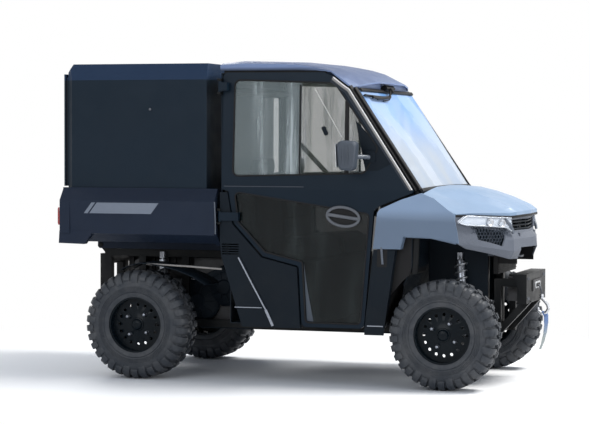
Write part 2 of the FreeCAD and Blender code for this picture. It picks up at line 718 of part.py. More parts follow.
def build_seat_cushion():
    solids = []
    for y in (-SEAT_Y, SEAT_Y):
        solids.append(plate_xz([(SEAT_FRONT_X + 14, SEAT_Z - 20), (SEAT_FRONT_X + 4, SEAT_Z + 108), (-176, SEAT_Z + 84),
                                (-176, SEAT_Z - 20)], {0: 20, 1: 44, 2: 26, 3: 10}, y - SEAT_HALF, y + SEAT_HALF))
    return Part.makeCompound(solids)


def build_seat_back():
    """Two leaning pads, each with a narrower headrest."""
    solids = []
    for y in (-SEAT_Y, SEAT_Y):
        back = plate_xz([(-182, SEAT_Z - 20), (-182, SEAT_Z + 90), (-214, 1222), (-262, 1236), (-326, 1216), (-306, SEAT_Z - 20)],
                        {1: 20, 2: 28, 3: 12, 4: 30}, y - SEAT_HALF + 6, y + SEAT_HALF - 6)
        rest = plate_xz([(-214, 1180), (-196, 1236), (-204, 1316), (-278, 1314), (-296, 1200)], {2: 26, 3: 26}, y - 138, y + 138)
        solids.append(back.fuse(rest).removeSplitter())
    return Part.makeCompound(solids)


# distance from the centre plane, heights of the top at each station, then x and z of the visor's front edge
ROOF_STATIONS = (-404, -262, 52, 175, 268, 345)
ROOF_SECTIONS = [
    (0, (1862, 1876, 1870, 1858, 1841, 1819), (478, 1752)),
    (300, (1861, 1875, 1868, 1855, 1837, 1814), (472, 1750)),
    (450, (1859, 1873, 1864, 1847, 1826, 1798), (452, 1738)),
    (560, (1857, 1870, 1860, 1838, 1812, 1776), (424, 1722)),
]
# the side edge: heights of the top and of the skirt's lower edge at each station
ROOF_EDGE_Y = 601.0
ROOF_EDGE_TOP = (1846, 1854, 1845, 1827, 1808, 1756)
ROOF_EDGE_LOW = (1813, 1813, 1812, 1811, 1801, 1741)
ROOF_EDGE_FRONT = (396, 1714)


def build_roof(cage, door_room):
    """Crowned sheet with a visor whose edge bows forwards, side skirts and pads on the cage."""
    sections = []
    for y, heights, (front_x, front_z) in ROOF_SECTIONS:
        top = list(zip(ROOF_STATIONS, heights))
        low = [(x, z - ROOF_SHEET) for x, z in reversed(top)]
        sections.append((y, top + [(front_x, front_z), (front_x - 3, front_z - 8)] + low))
    top = list(zip(ROOF_STATIONS, ROOF_EDGE_TOP))
    low = list(zip(ROOF_STATIONS, ROOF_EDGE_LOW))[::-1]
    front_x, front_z = ROOF_EDGE_FRONT
    sections.append((ROOF_EDGE_Y, top + [(front_x, front_z), (front_x - 3, front_z - 8)] + low))
    skin = loft([[(x, y, z) for x, z in line] for y, line in symmetric(sections)])
    pads = []
    for side in (-1, 1):
        for x, z in ((-300, 1862), (180, 1832)):
            pads.append(box(x - 30, x + 30, *sorted((side * 526, side * 566)), z - 86, z - 4))
    header = [(-552, 1698), (-552, 1722), (-450, 1749), (-300, 1768), (0, 1775), (300, 1768), (450, 1749), (552, 1722), (552, 1698)]
    whole = fused(skin, prism_yz(header, 418, 424), *pads).cut(cage).cut(door_room).cut(mirrored(door_room))
    return max(whole.Solids, key=lambda s: s.Volume)


def screen_directions():
    """Directions up along the windscreen and square to it, forwards."""
    along = (V(SCREEN_TOP_X, 0, SCREEN_TOP_Z) - V(COWL_X, 0, COWL_Z)).normalize()
    normal = V(-along.z, 0, along.x)
    if normal.x < 0:
        normal = normal * -1
    return along, normal


def build_glass():
    along, normal = screen_directions()
    bottom = V(COWL_X, 0, COWL_Z) + along * 14
    top = V(SCREEN_TOP_X, 0, SCREEN_TOP_Z)
    points = [bottom + V(0, -612, 0), bottom + V(0, 612, 0), top + V(0, 586, 0), top + V(0, -586, 0)]
    face = Part.Face(Part.makePolygon(points + [points[0]]))
    screen = face.extrude(normal * -GLASS)
    rear = box(-392 - 2, -386, -480, 480, 1200, 1680)
    return Part.makeCompound([screen, rear])


def build_cab_back():
    panel = box(-394, -389, -612, 612, 742, 1800)
    frame = box(-389, -386, -612, 612, 786, 1790)
    whole = fused(panel, frame)
    return whole.cut(box(-400, -380, -480, 480, 1200, 1680))


# Doors

DOOR_LOWER = [(-380, 1124), (-340, 1112), (-306, 926), (-126, 736), (90, 684), (110, 334), (482, 334), (538, 1008),
              (566, 1034), (692, 1084), (762, 1112), (770, 1124)]
DOOR_UPPER = [(-380, 1124), (770, 1124), (388, 1702), (342, 1730), (278, 1780), (232, 1800), (-380, 1803)]
WINDOW = [(-314, 1200), (480, 1221), (560, 1364), (298, 1738), (-308, 1760)]
LOWER_PANE = [(-278, 934), (-114, 762), (113, 709), (132, 359), (460, 359), (511, 990), (-302, 1108)]


def door_slab(outline, radii, depth_out, depth_in):
    return plate_xz(outline, radii, DOOR_OUT_Y - depth_in, DOOR_OUT_Y - depth_out)


def lean(shape):
    """Tips the upper part of a door inwards about the belt line."""
    shape.rotate(V(0, DOOR_OUT_Y, BELT_Z), V(1, 0, 0), DOOR_LEAN)
    return shape


def door_room():
    """Space round the door's upper frame that the roof keeps clear of."""
    grown = [(-400, 1110), (790, 1110), (397, 1708), (346, 1737), (281, 1787), (235, 1808), (-400, 1811)]
    return lean(door_slab(grown, {}, -30, DOOR_THICKNESS + 8))


def build_door():
    lower = door_slab(DOOR_LOWER, {4: 20, 5: 30, 6: 30}, 0, DOOR_THICKNESS)
    lower = lower.cut(door_slab(LOWER_PANE, {0: 20, 1: 20, 2: 20, 3: 20, 4: 20, 5: 20, 6: 20}, -5, DOOR_THICKNESS + 5))
    upper = door_slab(DOOR_UPPER, {2: 30, 4: 60, 5: 60, 6: 30}, 0, DOOR_THICKNESS)
    upper = upper.cut(door_slab(WINDOW, {0: 30, 1: 30, 2: 30, 3: 50, 4: 30}, -5, DOOR_THICKNESS + 5))
    door = fused(lower, lean(upper))
    hinges = []
    for z in HINGE_Z:
        face = DOOR_OUT_Y - (z - BELT_Z) * math.tan(math.radians(DOOR_LEAN)) if z > BELT_Z else DOOR_OUT_Y
        eye = rod((HINGE_X, HINGE_Y, z - 30), (HINGE_X, HINGE_Y, z + 30), HINGE_R)
        strap_front = -340 if z > BELT_Z else -270
        strap = box(HINGE_X, strap_front, face - (6 if z > BELT_Z else 0), HINGE_Y + HINGE_R - 2, z - 24, z + 24)
        if z < BELT_Z:
            strap = fused(box(HINGE_X, strap_front, 654, HINGE_Y + HINGE_R - 2, z - 24, z + 24),
                          box(-296, strap_front, DOOR_OUT_Y - 2, HINGE_Y, z - 24, z + 24))
        hinges += [eye, strap]
    door = fused(door, *hinges)
    for z in HINGE_Z:
        door = door.cut(rod((HINGE_X, HINGE_Y, z - 60), (HINGE_X, HINGE_Y, z + 60), HINGE_PIN_R + RUN_CLEARANCE))
    return door


def build_door_glass():
    window = lean(door_slab(WINDOW, {0: 36, 1: 36, 2: 36, 3: 56, 4: 36}, 11, 16))
    pane = door_slab(LOWER_PANE, {i: 14 if i == 2 else 26 for i in range(7)}, 11, 16)
    return Part.makeCompound([window, pane])


def build_door_fittings():
    """Oval ring handle, and the mirror on its arm."""
    handle = plate_xz([(252, 912), (458, 916), (458, 1038), (252, 1042)], {0: 60, 1: 60, 2: 60, 3: 60},
                      DOOR_OUT_Y, DOOR_OUT_Y + 14)
    handle = handle.cut(plate_xz([(268, 928), (442, 932), (442, 1022), (268, 1026)], {0: 44, 1: 44, 2: 44, 3: 44},
                                 DOOR_OUT_Y - 1, DOOR_OUT_Y + 20))
    grip = box(262, 448, DOOR_OUT_Y, DOOR_OUT_Y + 20, 958, 996)
    pod = plate_xz([(372, 1240), (452, 1240), (470, 1400), (356, 1405)], {0: 30, 1: 30, 2: 30, 3: 30}, 702, 800)
    arm = rod((480, 628, 1314), (430, 720, 1314), 12)
    foot = prism_xz([(470, 1270), (575, 1290), (590, 1345), (540, 1380), (470, 1380)], 606, 648)
    door = build_door()
    mirror = fused(pod, arm, foot).cut(door).cut(build_door_glass())
    return Part.makeCompound([fused(handle, grip).cut(door), max(mirror.Solids, key=lambda s: s.Volume)])


def build_hinge_posts(cage):
    """Door hinge pins on brackets that reach round the pillars."""
    posts = []
    for side in (1, -1):
        for z in HINGE_Z:
            pin = rod((HINGE_X, side * HINGE_Y, z - 46), (HINGE_X, side * HINGE_Y, z + 46), HINGE_PIN_R)
            arms = [box(HINGE_X - 14, HINGE_X + 1, *sorted((side * 556, side * (HINGE_Y + 8))), z + way * 40 - 6, z + way * 40 + 6)
                    for way in (-1, 1)]
            posts += [pin, *arms]
    return posts


# Front bumper


def build_bumper(frame):
    face = box(1343, 1351, -283, 283, 471, 643)
    face = face.cut(box(1340, 1355, -95, 95, 545, 590))
    arms = [box(1150, 1343, *sorted((side * 188, side * 232)), 566, 612) for side in (-1, 1)]
    uprights = [box(1150, 1190, *sorted((side * 188, side * 232)), 278, 612) for side in (-1, 1)]
    braces = [square_bar((1340, side * 150, 490), (1170, side * 190, 300), 40, (0, 1, 0)) for side in (-1, 1)]
    lips = [box(1262, 1351, -283, 283, 635, 643), box(1290, 1351, -283, 283, 471, 479)]
    cheeks = [prism_xz([(1343, 479), (1343, 635), (1268, 635), (1296, 560), (1296, 479)], *sorted((side * 275, side * 283)))
              for side in (-1, 1)]
    whole = fused(face, *arms, *uprights, *braces, *lips, *cheeks)
    return whole.cut(frame)


def build_winch():
    drum = rod((1270, -120, 560), (1270, 120, 560), 38)
    body = fused(drum, box(1215, 1325, -160, -110, 500, 620), box(1215, 1325, 110, 160, 500, 620), box(1215, 1325, -160, 160, 479, 500))
    fairlead = box(1351, 1359, -120, 120, 535, 600).cut(box(1350, 1362, -70, 70, 556, 580))
    return Part.makeCompound([body, fairlead])


def build_strap():
    outline = [(1359, 560), (1386, 500), (1412, 400), (1402, 264), (1378, 185), (1374, 187), (1396, 266), (1406, 400), (1380, 498), (1359, 548)]
    return prism_xz(outline, -22, 22)


# Bed


# x and z corners of the deeper skirt at each rear corner of the bed
BED_CORNER_SKIRT = [(REAR_AXLE_X - 490, 868), (REAR_AXLE_X - 494, 794), (REAR_AXLE_X - 330, 790), (REAR_AXLE_X - 272, 868)]


def build_bed():
    """Open tub with outward-swept side walls, a floor on cross ribs and pivot lugs."""
    front = BED_FRONT_X
    rear = TAILGATE_FRONT_X
    half = [(0, 800), (560, 800), (640, BED_SKIRT_Z), (682, BED_SKIRT_Z + 4), (690, BED_RIDGE_Z), (640, 1112), (632, BED_RAIL_Z),
            (604, BED_RAIL_Z), (604, 1090), (640, 1040), (604, 840), (590, 824)]
    outline = half + [(-y, z) for y, z in reversed(half) if y]
    walls = prism_yz(outline, rear, front)
    bulk = [(0, 790), (560, 790), (640, BED_SKIRT_Z), (690, BED_SKIRT_Z + 4), (690, BED_RIDGE_Z), (640, 1112), (632, BED_RAIL_Z)]
    bulkhead = prism_yz(bulk + [(-y, z) for y, z in reversed(bulk) if y], front - 34, front)
    ribs = [box(RAIL_REAR_X, front - 20, *sorted((side * 190, side * 250)), DECK_Z + 2, 800) for side in (-1, 1)]
    lugs = [plate_xz([(PIVOT_X - 22, 800), (PIVOT_X - 22, PIVOT_Z - 10), (PIVOT_X - 10, PIVOT_Z - 22), (PIVOT_X + 14, PIVOT_Z - 22), (PIVOT_X + 40, 800)], {},
                     *sorted((side * 192, side * 226))) for side in (-1, 1)]
    posts = [prism_yz([(side * 596, 822), (side * 640, BED_SKIRT_Z), (side * 690, BED_SKIRT_Z + 4), (side * 690, BED_RIDGE_Z), (side * 640, 1112), (side * 632, BED_RAIL_Z),
                       (side * 596, BED_RAIL_Z)], rear - 34, rear + 30) for side in (-1, 1)]
    sill = box(rear - 38, rear, -684, 684, 796, 820)
    skirts = [prism_xz(BED_CORNER_SKIRT, *sorted((side * 642, side * 684))) for side in (-1, 1)]
    tub = fused(walls, bulkhead, sill, *ribs, *lugs, *posts, *skirts)
    for side in (-1, 1):
        tub = tub.cut(rod((PIVOT_X, side * 160, PIVOT_Z), (PIVOT_X, side * 240, PIVOT_Z), PIVOT_R + RUN_CLEARANCE))
        tub = tub.cut(rod((GATE_X, side * 590, GATE_Z), (GATE_X, side * 616, GATE_Z), GATE_PIN_R + RUN_CLEARANCE))
    return tub


def build_tailgate():
    gate = prism_xz([(GATE_X - 14, GATE_Z - 12), (GATE_X - 16, 1112), (GATE_X + 10, 1116), (GATE_X + 12, GATE_Z - 12)], -590, 590)
    pins = [rod((GATE_X, side * 560, GATE_Z), (GATE_X, side * 612, GATE_Z), GATE_PIN_R) for side in (-1, 1)]
    return fused(gate, *pins)


def build_cargo_box():
    """Folded-sheet box: two sides, front, leaning top edges, roof, rear frame round the hatch."""
    side_top = BOX_TOP_Z - BOX_CHAMFER
    outer = [(-BOX_Y, BED_RAIL_Z), (-BOX_Y, side_top), (-BOX_Y + 24, BOX_TOP_Z), (BOX_Y - 24, BOX_TOP_Z), (BOX_Y, side_top), (BOX_Y, BED_RAIL_Z)]
    s = BOX_SHEET
    inner = [(-BOX_Y + s, BED_RAIL_Z - 10), (-BOX_Y + s, side_top - 4), (-BOX_Y + 24 + s, BOX_TOP_Z - s), (BOX_Y - 24 - s, BOX_TOP_Z - s),
             (BOX_Y - s, side_top - 4), (BOX_Y - s, BED_RAIL_Z - 10)]
    whole = prism_yz(outer, BOX_REAR_X, BOX_FRONT_X).cut(prism_yz(inner, BOX_REAR_X + s, BOX_FRONT_X - s))
    lip = box(BOX_REAR_X - 10, BOX_REAR_X, -574, 574, BED_RAIL_Z + 10, 1780)
    whole = whole.fuse(lip).cut(box(BOX_REAR_X - 20, BOX_REAR_X + s + 10, -560, 560, BED_RAIL_Z - 10, 1766))
    for side in (-1, 1):
        y = side * BOX_Y
        inward = -side
        post = loft([[(BOX_REAR_X + s - 2, y + inward * (s - 2), z), (BOX_REAR_X + s + 30, y + inward * (s - 2), z),
                      (BOX_REAR_X + s - 2, y + inward * (s + 30), z)] for z in (BED_RAIL_Z, side_top)])
        edge = loft([[(BOX_REAR_X - 1, y - inward * 1, z), (BOX_REAR_X + BOX_CORNER, y - inward * 1, z),
                      (BOX_REAR_X - 1, y + inward * BOX_CORNER, z)] for z in (BED_RAIL_Z - 1, BOX_TOP_Z + 1)])
        corner = loft([[(BOX_REAR_X - 1, y - inward, 1788), (BOX_REAR_X - 1, y - inward, BOX_TOP_Z + 2), (BOX_REAR_X + 52, y - inward, BOX_TOP_Z + 2)],
                       [(BOX_REAR_X - 1, y + inward * 130, 1850), (BOX_REAR_X - 1, y + inward * 130, BOX_TOP_Z + 2),
                        (BOX_REAR_X + 4, y + inward * 130, BOX_TOP_Z + 2)]])
        whole = whole.fuse(post).cut(edge).cut(corner)
    return whole.removeSplitter()


def build_hatch():
    panel = box(HATCH_X - 4, HATCH_X + 8, -580, 580, 1132, 1800)
    eyes = [rod((HATCH_X, side * 300 - 40, HATCH_Z), (HATCH_X, side * 300 + 40, HATCH_Z), 10) for side in (-1, 1)]
    links = [box(HATCH_X - 4, HATCH_X + 8, side * 300 - 40, side * 300 + 40, 1790, HATCH_Z) for side in (-1, 1)]
    hatch = fused(panel, *eyes, *links)
    for side in (-1, 1):
        hatch = hatch.cut(rod((HATCH_X, side * 300 - 60, HATCH_Z), (HATCH_X, side * 300 + 60, HATCH_Z), 5 + RUN_CLEARANCE))
    return hatch


def hatch_pins():
    pieces = []
    for side in (-1, 1):
        pieces.append(rod((HATCH_X, side * 300 - 56, HATCH_Z), (HATCH_X, side * 300 + 56, HATCH_Z), 5))
        for way in (-1, 1):
            y = side * 300 + way * 50
            pieces.append(box(HATCH_X - 8, BOX_REAR_X + 2, y - 5, y + 5, HATCH_Z - 8, HATCH_Z + 8))
    return pieces


PARTS = {}


def part(name, shape):
    PARTS[name] = shape


def main():
    for end, size, axle in (("front", FRONT_TYRE, FRONT_AXLE_X), ("rear", REAR_TYRE, REAR_AXLE_X)):
        for word, side in (("left", 1), ("right", -1)):
            centre = wheel_centre(size, axle, side)
            part(f"tyre_{end}_{word}", tyre(size, centre))
            part(f"rim_{end}_{word}", rim(size, centre, side))
    part("knuckle_left", knuckle(1))
    part("knuckle_right", knuckle(-1))
    spaces = wheel_spaces()
    frame = build_chassis()
    part("chassis_frame", frame)
    part("skid_plate", box(REAR_AXLE_X - 198, 1100, -230, 230, RAIL_Z - 22 - SKID_THICKNESS, RAIL_Z - 22))
    part("engine_block", box(ENGINE_REAR_X, ENGINE_FRONT_X, -160, 160, RAIL_Z + 18, 690))
    arms = build_suspension(frame)
    part("suspension_arms", arms)
    part("shock_absorbers", build_shocks(frame, arms))
    part("drivetrain", build_drivetrain(frame).cut(arms))
    cage = build_cage()
    cage = fused(cage, *build_hinge_posts(cage))
    part("roll_cage", cage)
    tub = build_tub(spaces, frame).cut(cage)
    part("floor_tub", max(tub.Solids, key=lambda s: s.Volume))
    back = build_cab_back().cut(cage)
    part("side_panels", build_side_panels(spaces).cut(tub).cut(cage).cut(back).cut(PARTS["shock_absorbers"]))
    part("front_fascia", build_fascia(spaces))
    hood = build_hood().cut(PARTS["front_fascia"])
    part("hood", max(hood.Solids, key=lambda s: s.Volume))
    part("headlamps", build_headlamps().cut(PARTS["front_fascia"]))
    part("grilles", build_grilles().cut(PARTS["front_fascia"]).cut(PARTS["headlamps"]))
    part("fenders", build_fenders(spaces).cut(tub))
    part("dashboard", build_dash().cut(cage).cut(tub))
    part("steering_wheel", build_steering_wheel())
    part("seat_cushions", build_seat_cushion())
    part("seat_backs", build_seat_back())
    part("roof", build_roof(cage, door_room()))
    part("cab_glass", build_glass())
    part("cab_back", back)
    door = build_door()
    glass = build_door_glass()
    fittings = build_door_fittings()
    for word, turn in (("left", lambda s: s), ("right", mirrored)):
        part(f"door_{word}", turn(door))
        part(f"door_glass_{word}", turn(glass))
        part(f"door_fittings_{word}", turn(fittings))
    bumper = build_bumper(frame)
    part("winch_bumper", bumper)
    part("winch", build_winch().cut(bumper))
    part("tow_strap", build_strap())
    bed = build_bed()
    part("bed_tub", bed)
    part("tail_lamps", both(box(TAILGATE_FRONT_X - 46, TAILGATE_FRONT_X - 34, 616, 685, 900, 1010)))
    cargo = build_cargo_box()
    part("cargo_box", fused(cargo, *hatch_pins()).cut(bed))
    part("tailgate", build_tailgate())
    part("box_hatch", build_hatch())
    os.makedirs("parts", exist_ok=True)
    for name, shape in PARTS.items():
        shape.exportStep(f"parts/{name}.step")
        print(name, len(shape.Solids), round(shape.Volume / 1e6, 2), shape.isValid())


main()
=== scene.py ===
"""Looks of the side-by-side utility vehicle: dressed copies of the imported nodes, plus the small parts and finishes.

Metres, +X forward, +Y to the driver's left, +Z up.
"""
import json
import math

import bmesh
import bpy
from mathutils import Matrix, Vector


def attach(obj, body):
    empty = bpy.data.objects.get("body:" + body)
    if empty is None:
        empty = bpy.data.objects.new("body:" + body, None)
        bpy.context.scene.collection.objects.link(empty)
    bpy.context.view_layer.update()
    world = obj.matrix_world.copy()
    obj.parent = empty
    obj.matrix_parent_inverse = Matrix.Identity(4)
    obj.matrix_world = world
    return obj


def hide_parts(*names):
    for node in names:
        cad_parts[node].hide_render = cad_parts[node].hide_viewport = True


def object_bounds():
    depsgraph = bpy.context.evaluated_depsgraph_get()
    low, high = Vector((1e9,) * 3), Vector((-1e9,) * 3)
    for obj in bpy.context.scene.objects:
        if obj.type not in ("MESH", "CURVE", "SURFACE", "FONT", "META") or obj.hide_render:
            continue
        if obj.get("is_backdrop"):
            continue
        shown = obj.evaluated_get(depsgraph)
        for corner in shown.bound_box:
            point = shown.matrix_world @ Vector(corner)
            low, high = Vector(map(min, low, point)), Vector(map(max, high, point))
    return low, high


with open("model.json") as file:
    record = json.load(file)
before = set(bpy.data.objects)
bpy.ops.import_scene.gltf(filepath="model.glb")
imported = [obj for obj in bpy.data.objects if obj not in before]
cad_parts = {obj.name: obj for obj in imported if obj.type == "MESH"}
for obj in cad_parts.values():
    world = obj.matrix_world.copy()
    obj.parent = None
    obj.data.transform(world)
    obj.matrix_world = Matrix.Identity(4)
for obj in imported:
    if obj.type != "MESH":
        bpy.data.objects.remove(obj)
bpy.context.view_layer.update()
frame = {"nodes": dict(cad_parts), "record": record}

# Camera of the photograph
CAMERA_SPOT = (3.6894, -11.9475, 1.4066)
CAMERA_LENS = 125.86
CAMERA_SENSOR = 36.0
CAMERA_AZIMUTH = 17.76
CAMERA_ELEVATION = 1.98
CAMERA_ROLL = 0.16

SIDES = (("left", 1), ("right", -1))
THREAD_PITCH = 0.0016
FLOOR_HALF = 90
ROAD_DUST = (0.24, 0.21, 0.17)
PALE_DUST = (0.26, 0.23, 0.19)


# Shader maths


class Wire:
    """A shader socket or number whose sums and products add Math nodes."""

    def __init__(self, sheet, socket):
        self.sheet = sheet
        self.socket = socket

    def _math(self, operation, *values):
        return self.sheet.node("ShaderNodeMath", {"operation": operation}, *values)

    def __add__(self, other):
        return self._math("ADD", self, other)

    __radd__ = __add__

    def __sub__(self, other):
        return self._math("SUBTRACT", self, other)

    def __rsub__(self, other):
        return self._math("SUBTRACT", other, self)

    def __mul__(self, other):
        return self._math("MULTIPLY", self, other)

    __rmul__ = __mul__

    def __truediv__(self, other):
        return self._math("DIVIDE", self, other)

    def __rtruediv__(self, other):
        return self._math("DIVIDE", other, self)

    def power(self, exponent):
        return self._math("POWER", self, exponent)

    def wave(self):
        return self._math("SINE", self)

    def most(self, other):
        return self._math("MAXIMUM", self, other)

    def ramp(self, low, high, to_low=0.0, to_high=1.0):
        """Smooth step of this value from low..high to to_low..to_high."""
        settings = {"interpolation_type": "SMOOTHSTEP"}
        return self.sheet.node("ShaderNodeMapRange", settings, self, low, high, to_low, to_high)


class Sheet:
    """A node tree with short calls for the nodes put in it."""

    def __init__(self, tree):
        self.tree = tree

    def feed(self, socket, value):
        if isinstance(value, Wire):
            value = value.socket
        if isinstance(value, bpy.types.NodeSocket):
            self.tree.links.new(value, socket)
        elif value is not None:
            socket.default_value = (*value, 1.0) if socket.type == "RGBA" else value

    def node(self, kind, settings, *values, out=0, **named):
        made = self.tree.nodes.new(kind)
        for key, value in settings.items():
            setattr(made, key, value)
        for socket, value in zip(made.inputs, values):
            self.feed(socket, value)
        for key, value in named.items():
            self.feed(made.inputs[key.replace("_", " ")], value)
        return Wire(self, made.outputs[out])

    def blend(self, mask, first, second):
        made = self.tree.nodes.new("ShaderNodeMix")
        made.data_type = "RGBA"
        self.feed(made.inputs["Factor"], mask)
        self.feed(made.inputs[6], first)
        self.feed(made.inputs[7], second)
        return Wire(self, made.outputs[2])

    def seen(self):
        """1 for the rays that carry a picture to the camera: straight, mirrored or through glass."""
        rays = self.tree.nodes.new("ShaderNodeLightPath").outputs
        camera, glossy, through = [Wire(self, rays[f"Is {kind} Ray"]) for kind in ("Camera", "Glossy", "Transmission")]
        return camera.most(glossy).most(through)


class Finish(Sheet):
    """One material, its textures placed by Object coordinates."""

    def __init__(self, name):
        self.material = bpy.data.materials.new(name)
        self.material.use_nodes = True
        super().__init__(self.material.node_tree)
        self.shader = self.tree.nodes["Principled BSDF"]
        self.place = self.tree.nodes.new("ShaderNodeTexCoord").outputs["Object"]

    def noise(self, scale, detail=3.0, rough=0.55, place=None):
        place = place or self.place
        return self.node("ShaderNodeTexNoise", {}, Vector=place, Scale=scale, Detail=detail, Roughness=rough)

    def cells(self, scale):
        return self.node("ShaderNodeTexVoronoi", {}, Vector=self.place, Scale=scale)

    def axis(self, letter):
        return self.node("ShaderNodeSeparateXYZ", {}, self.place, out="XYZ".index(letter))

    def stretch(self, factors):
        return self.node("ShaderNodeVectorMath", {"operation": "MULTIPLY"}, self.place, factors).socket

    def bump(self, height, depth, strength):
        return self.node("ShaderNodeBump", {}, Strength=strength, Distance=depth, Height=height)

    def set(self, **values):
        for key, value in values.items():
            self.feed(self.shader.inputs[key.replace("_", " ")], value)


def upward(finish):
    """1 where the surface looks up, 0 where it looks sideways or down: the mask of painted light and shade set by
    facing.
    """
    normal = finish.tree.nodes.new("ShaderNodeNewGeometry").outputs["Normal"]
    return finish.node("ShaderNodeSeparateXYZ", {}, normal, out=2).ramp(0.35, 1.0)


def dusty(finish, colour, dust, share):
    """Colour with road dust in uneven patches, more of it near the ground."""
    patches = finish.noise(6.0, 5.0, 0.65).ramp(0.4, 0.72)
    low = finish.axis("Z").ramp(0.9, 0.2, 0.15, 1.0)
    return finish.blend(patches * low * share, colour, dust)


def lighter(colour, factor, lift=0.0):
    return [min(1.0, c * factor + lift) for c in colour]


def painted(name, colour, roughness, dust=0.15, peel=0.0004, coat=0.0, metal=0.0, grain=260.0, shine=0.5,
            sky=None, deep=None, high=None):
    """Sprayed paint: slight orange peel, uneven gloss and road dust low down; sky is the tint of faces that look up, as
    painted sky light, deep is (low height, high height, share) of a darker lower part as painted shade, high is
    (height, tint) of a paler top as painted light."""
    f = Finish(name)
    tint = f.noise(3.0, 2.0).ramp(0.3, 0.7)
    shade = f.blend(tint * 0.35, colour, lighter(colour, 1.25))
    # Painted shade: the lower part darker
    if deep:
        shade = f.blend(f.axis("Z").ramp(deep[1], deep[0]) * deep[2], shade, lighter(colour, 0.35))
    # Painted light: the part above a height paler
    if high:
        shade = f.blend(f.axis("Z").ramp(high[0] - 0.001, high[0] + 0.001), shade, high[1])
    # Painted sky light on the faces that look up
    if sky:
        shade = f.blend(upward(f), shade, sky)
    rough = f.noise(9.0, 4.0).ramp(0.2, 0.8, roughness * 0.85, min(1.0, roughness * 1.2))
    f.set(Base_Color=dusty(f, shade, ROAD_DUST, dust), Roughness=rough, Metallic=metal, Specular_IOR_Level=shine,
          Coat_Weight=coat, Normal=f.bump(f.noise(grain, 2.0), peel, 0.5))
    return f.material


def moulded(name, colour, roughness, dust=0.15, grain=900.0, depth=0.0006, shine=0.5):
    """Moulded plastic with a fine pebble grain."""
    f = Finish(name)
    tint = f.noise(4.0, 3.0).ramp(0.3, 0.7)
    shade = f.blend(tint * 0.3, colour, lighter(colour, 1.35))
    rough = f.noise(12.0, 4.0).ramp(0.2, 0.8, roughness - 0.07, roughness + 0.08)
    f.set(Base_Color=dusty(f, shade, PALE_DUST, dust), Roughness=rough, Specular_IOR_Level=shine,
          Normal=f.bump(f.cells(grain), depth, 0.6))
    return f.material


def rubber():
    """Tyre rubber, bluish black with paler dry patches."""
    f = Finish("tyre_rubber")
    patches = f.noise(7.0, 6.0, 0.7).ramp(0.35, 0.75)
    f.set(Base_Color=f.blend(patches * 0.6, (0.021, 0.026, 0.034), (0.088, 0.088, 0.090)), Specular_IOR_Level=0.4,
          Roughness=f.noise(30.0).ramp(0.2, 0.8, 0.44, 0.72), Normal=f.bump(f.noise(160.0, 3.0), 0.0008, 0.5))
    return f.material


def clear_pane(name, tint, alpha, streaks=0.0, haze=(0.60, 0.64, 0.68), smear=(9.0, 2.0, 1.6), shine=0.5):
    """Plastic or glass pane with long dry water marks."""
    f = Finish(name)
    marks = f.noise(1.0, 5.0, 0.62, f.stretch(smear)).ramp(0.48, 0.82)
    f.set(Base_Color=f.blend(marks, tint, haze), Roughness=marks * 0.25 + 0.03,
          Alpha=marks * streaks + alpha, IOR=1.5, Specular_IOR_Level=shine)
    return f.material


def roof_shell():
    """Dark roof plastic with painted light and shade: paler where it faces the side, darker where it looks up, and
    nearly black along the rear part of its lower edge.
    """
    f = Finish("roof_dark")
    # Painted shade along the rear part of the lower edge
    low = f.axis("Z").ramp(1.838, 1.812) * f.axis("X").ramp(0.34, 0.05)
    # Painted light: faces that look sideways paler, faces that look up darker
    shade = f.blend(upward(f), (0.215, 0.285, 0.470), (0.058, 0.084, 0.160))
    shade = f.blend(f.noise(4.0, 3.0).ramp(0.3, 0.7) * 0.2, shade, (0.15, 0.19, 0.28))
    rough = f.noise(12.0, 4.0).ramp(0.2, 0.8, 0.40, 0.55)
    f.set(Base_Color=f.blend(low * 0.88, shade, (0.008, 0.013, 0.020)), Roughness=rough, Specular_IOR_Level=0.25,
          Normal=f.bump(f.cells(900.0), 0.0006, 0.6))
    return f.material


def screen_pane():
    """Windscreen: a painted reflection of the sky, blue above and paler below, with faint slanted streaks."""
    f = Finish("screen_pane")
    slant = f.axis("Y") + f.axis("Z") * 0.55
    bands = ((slant * 9.0 + f.noise(2.2, 3.0) * 6.0).wave() * 0.5 + 0.5).ramp(0.35, 0.95)
    patches = f.noise(1.0, 4.0, 0.6, f.stretch((2.4, 4.2, 1.6))).ramp(0.35, 0.65)
    # Painted reflection of the sky, blue above and paler below, set by height
    height = f.axis("Z").ramp(1.66, 1.30)
    sky_reflection = f.blend(height * 0.8 + patches * 0.2, (0.165, 0.385, 0.78), (0.48, 0.535, 0.60))
    f.set(Base_Color=f.blend(bands * 0.35, sky_reflection, (0.58, 0.62, 0.68)), Roughness=bands * 0.2 + 0.14,
          Alpha=bands * 0.12 + 0.66, Specular_IOR_Level=0.12)
    return f.material


def metal(name, colour, roughness, cast=0.0):
    """Bare metal with grime in patches; cast is 1 for a rough casting."""
    f = Finish(name)
    grime = f.noise(18.0, 5.0, 0.7).ramp(0.4, 0.75)
    f.set(Base_Color=f.blend(grime * 0.55, colour, (0.05, 0.045, 0.04)), Metallic=0.85 - cast * 0.3,
          Roughness=grime * 0.25 + roughness, Normal=f.bump(f.noise(420.0, 3.0), 0.0006 * (1 + cast), 0.6))
    return f.material


def woven(name, colour, end_colour, end_low, end_high):
    """Webbing of two crossed rows of threads, bleached towards its lower end between two heights."""
    f = Finish(name)
    turn = 2 * math.pi / THREAD_PITCH
    warp = (f.axis("X") * turn).wave()
    weft = (f.axis("Y") * turn + f.axis("Z") * turn).wave()
    wear = f.noise(22.0, 4.0).ramp(0.35, 0.7)
    shade = f.blend(wear * 0.5, colour, lighter(colour, 1.6, 0.02))
    f.set(Base_Color=f.blend(f.axis("Z").ramp(end_high, end_low), shade, end_colour), Roughness=0.85,
          Normal=f.bump(warp * weft, 0.0005, 0.6), Sheen_Weight=0.15)
    return f.material


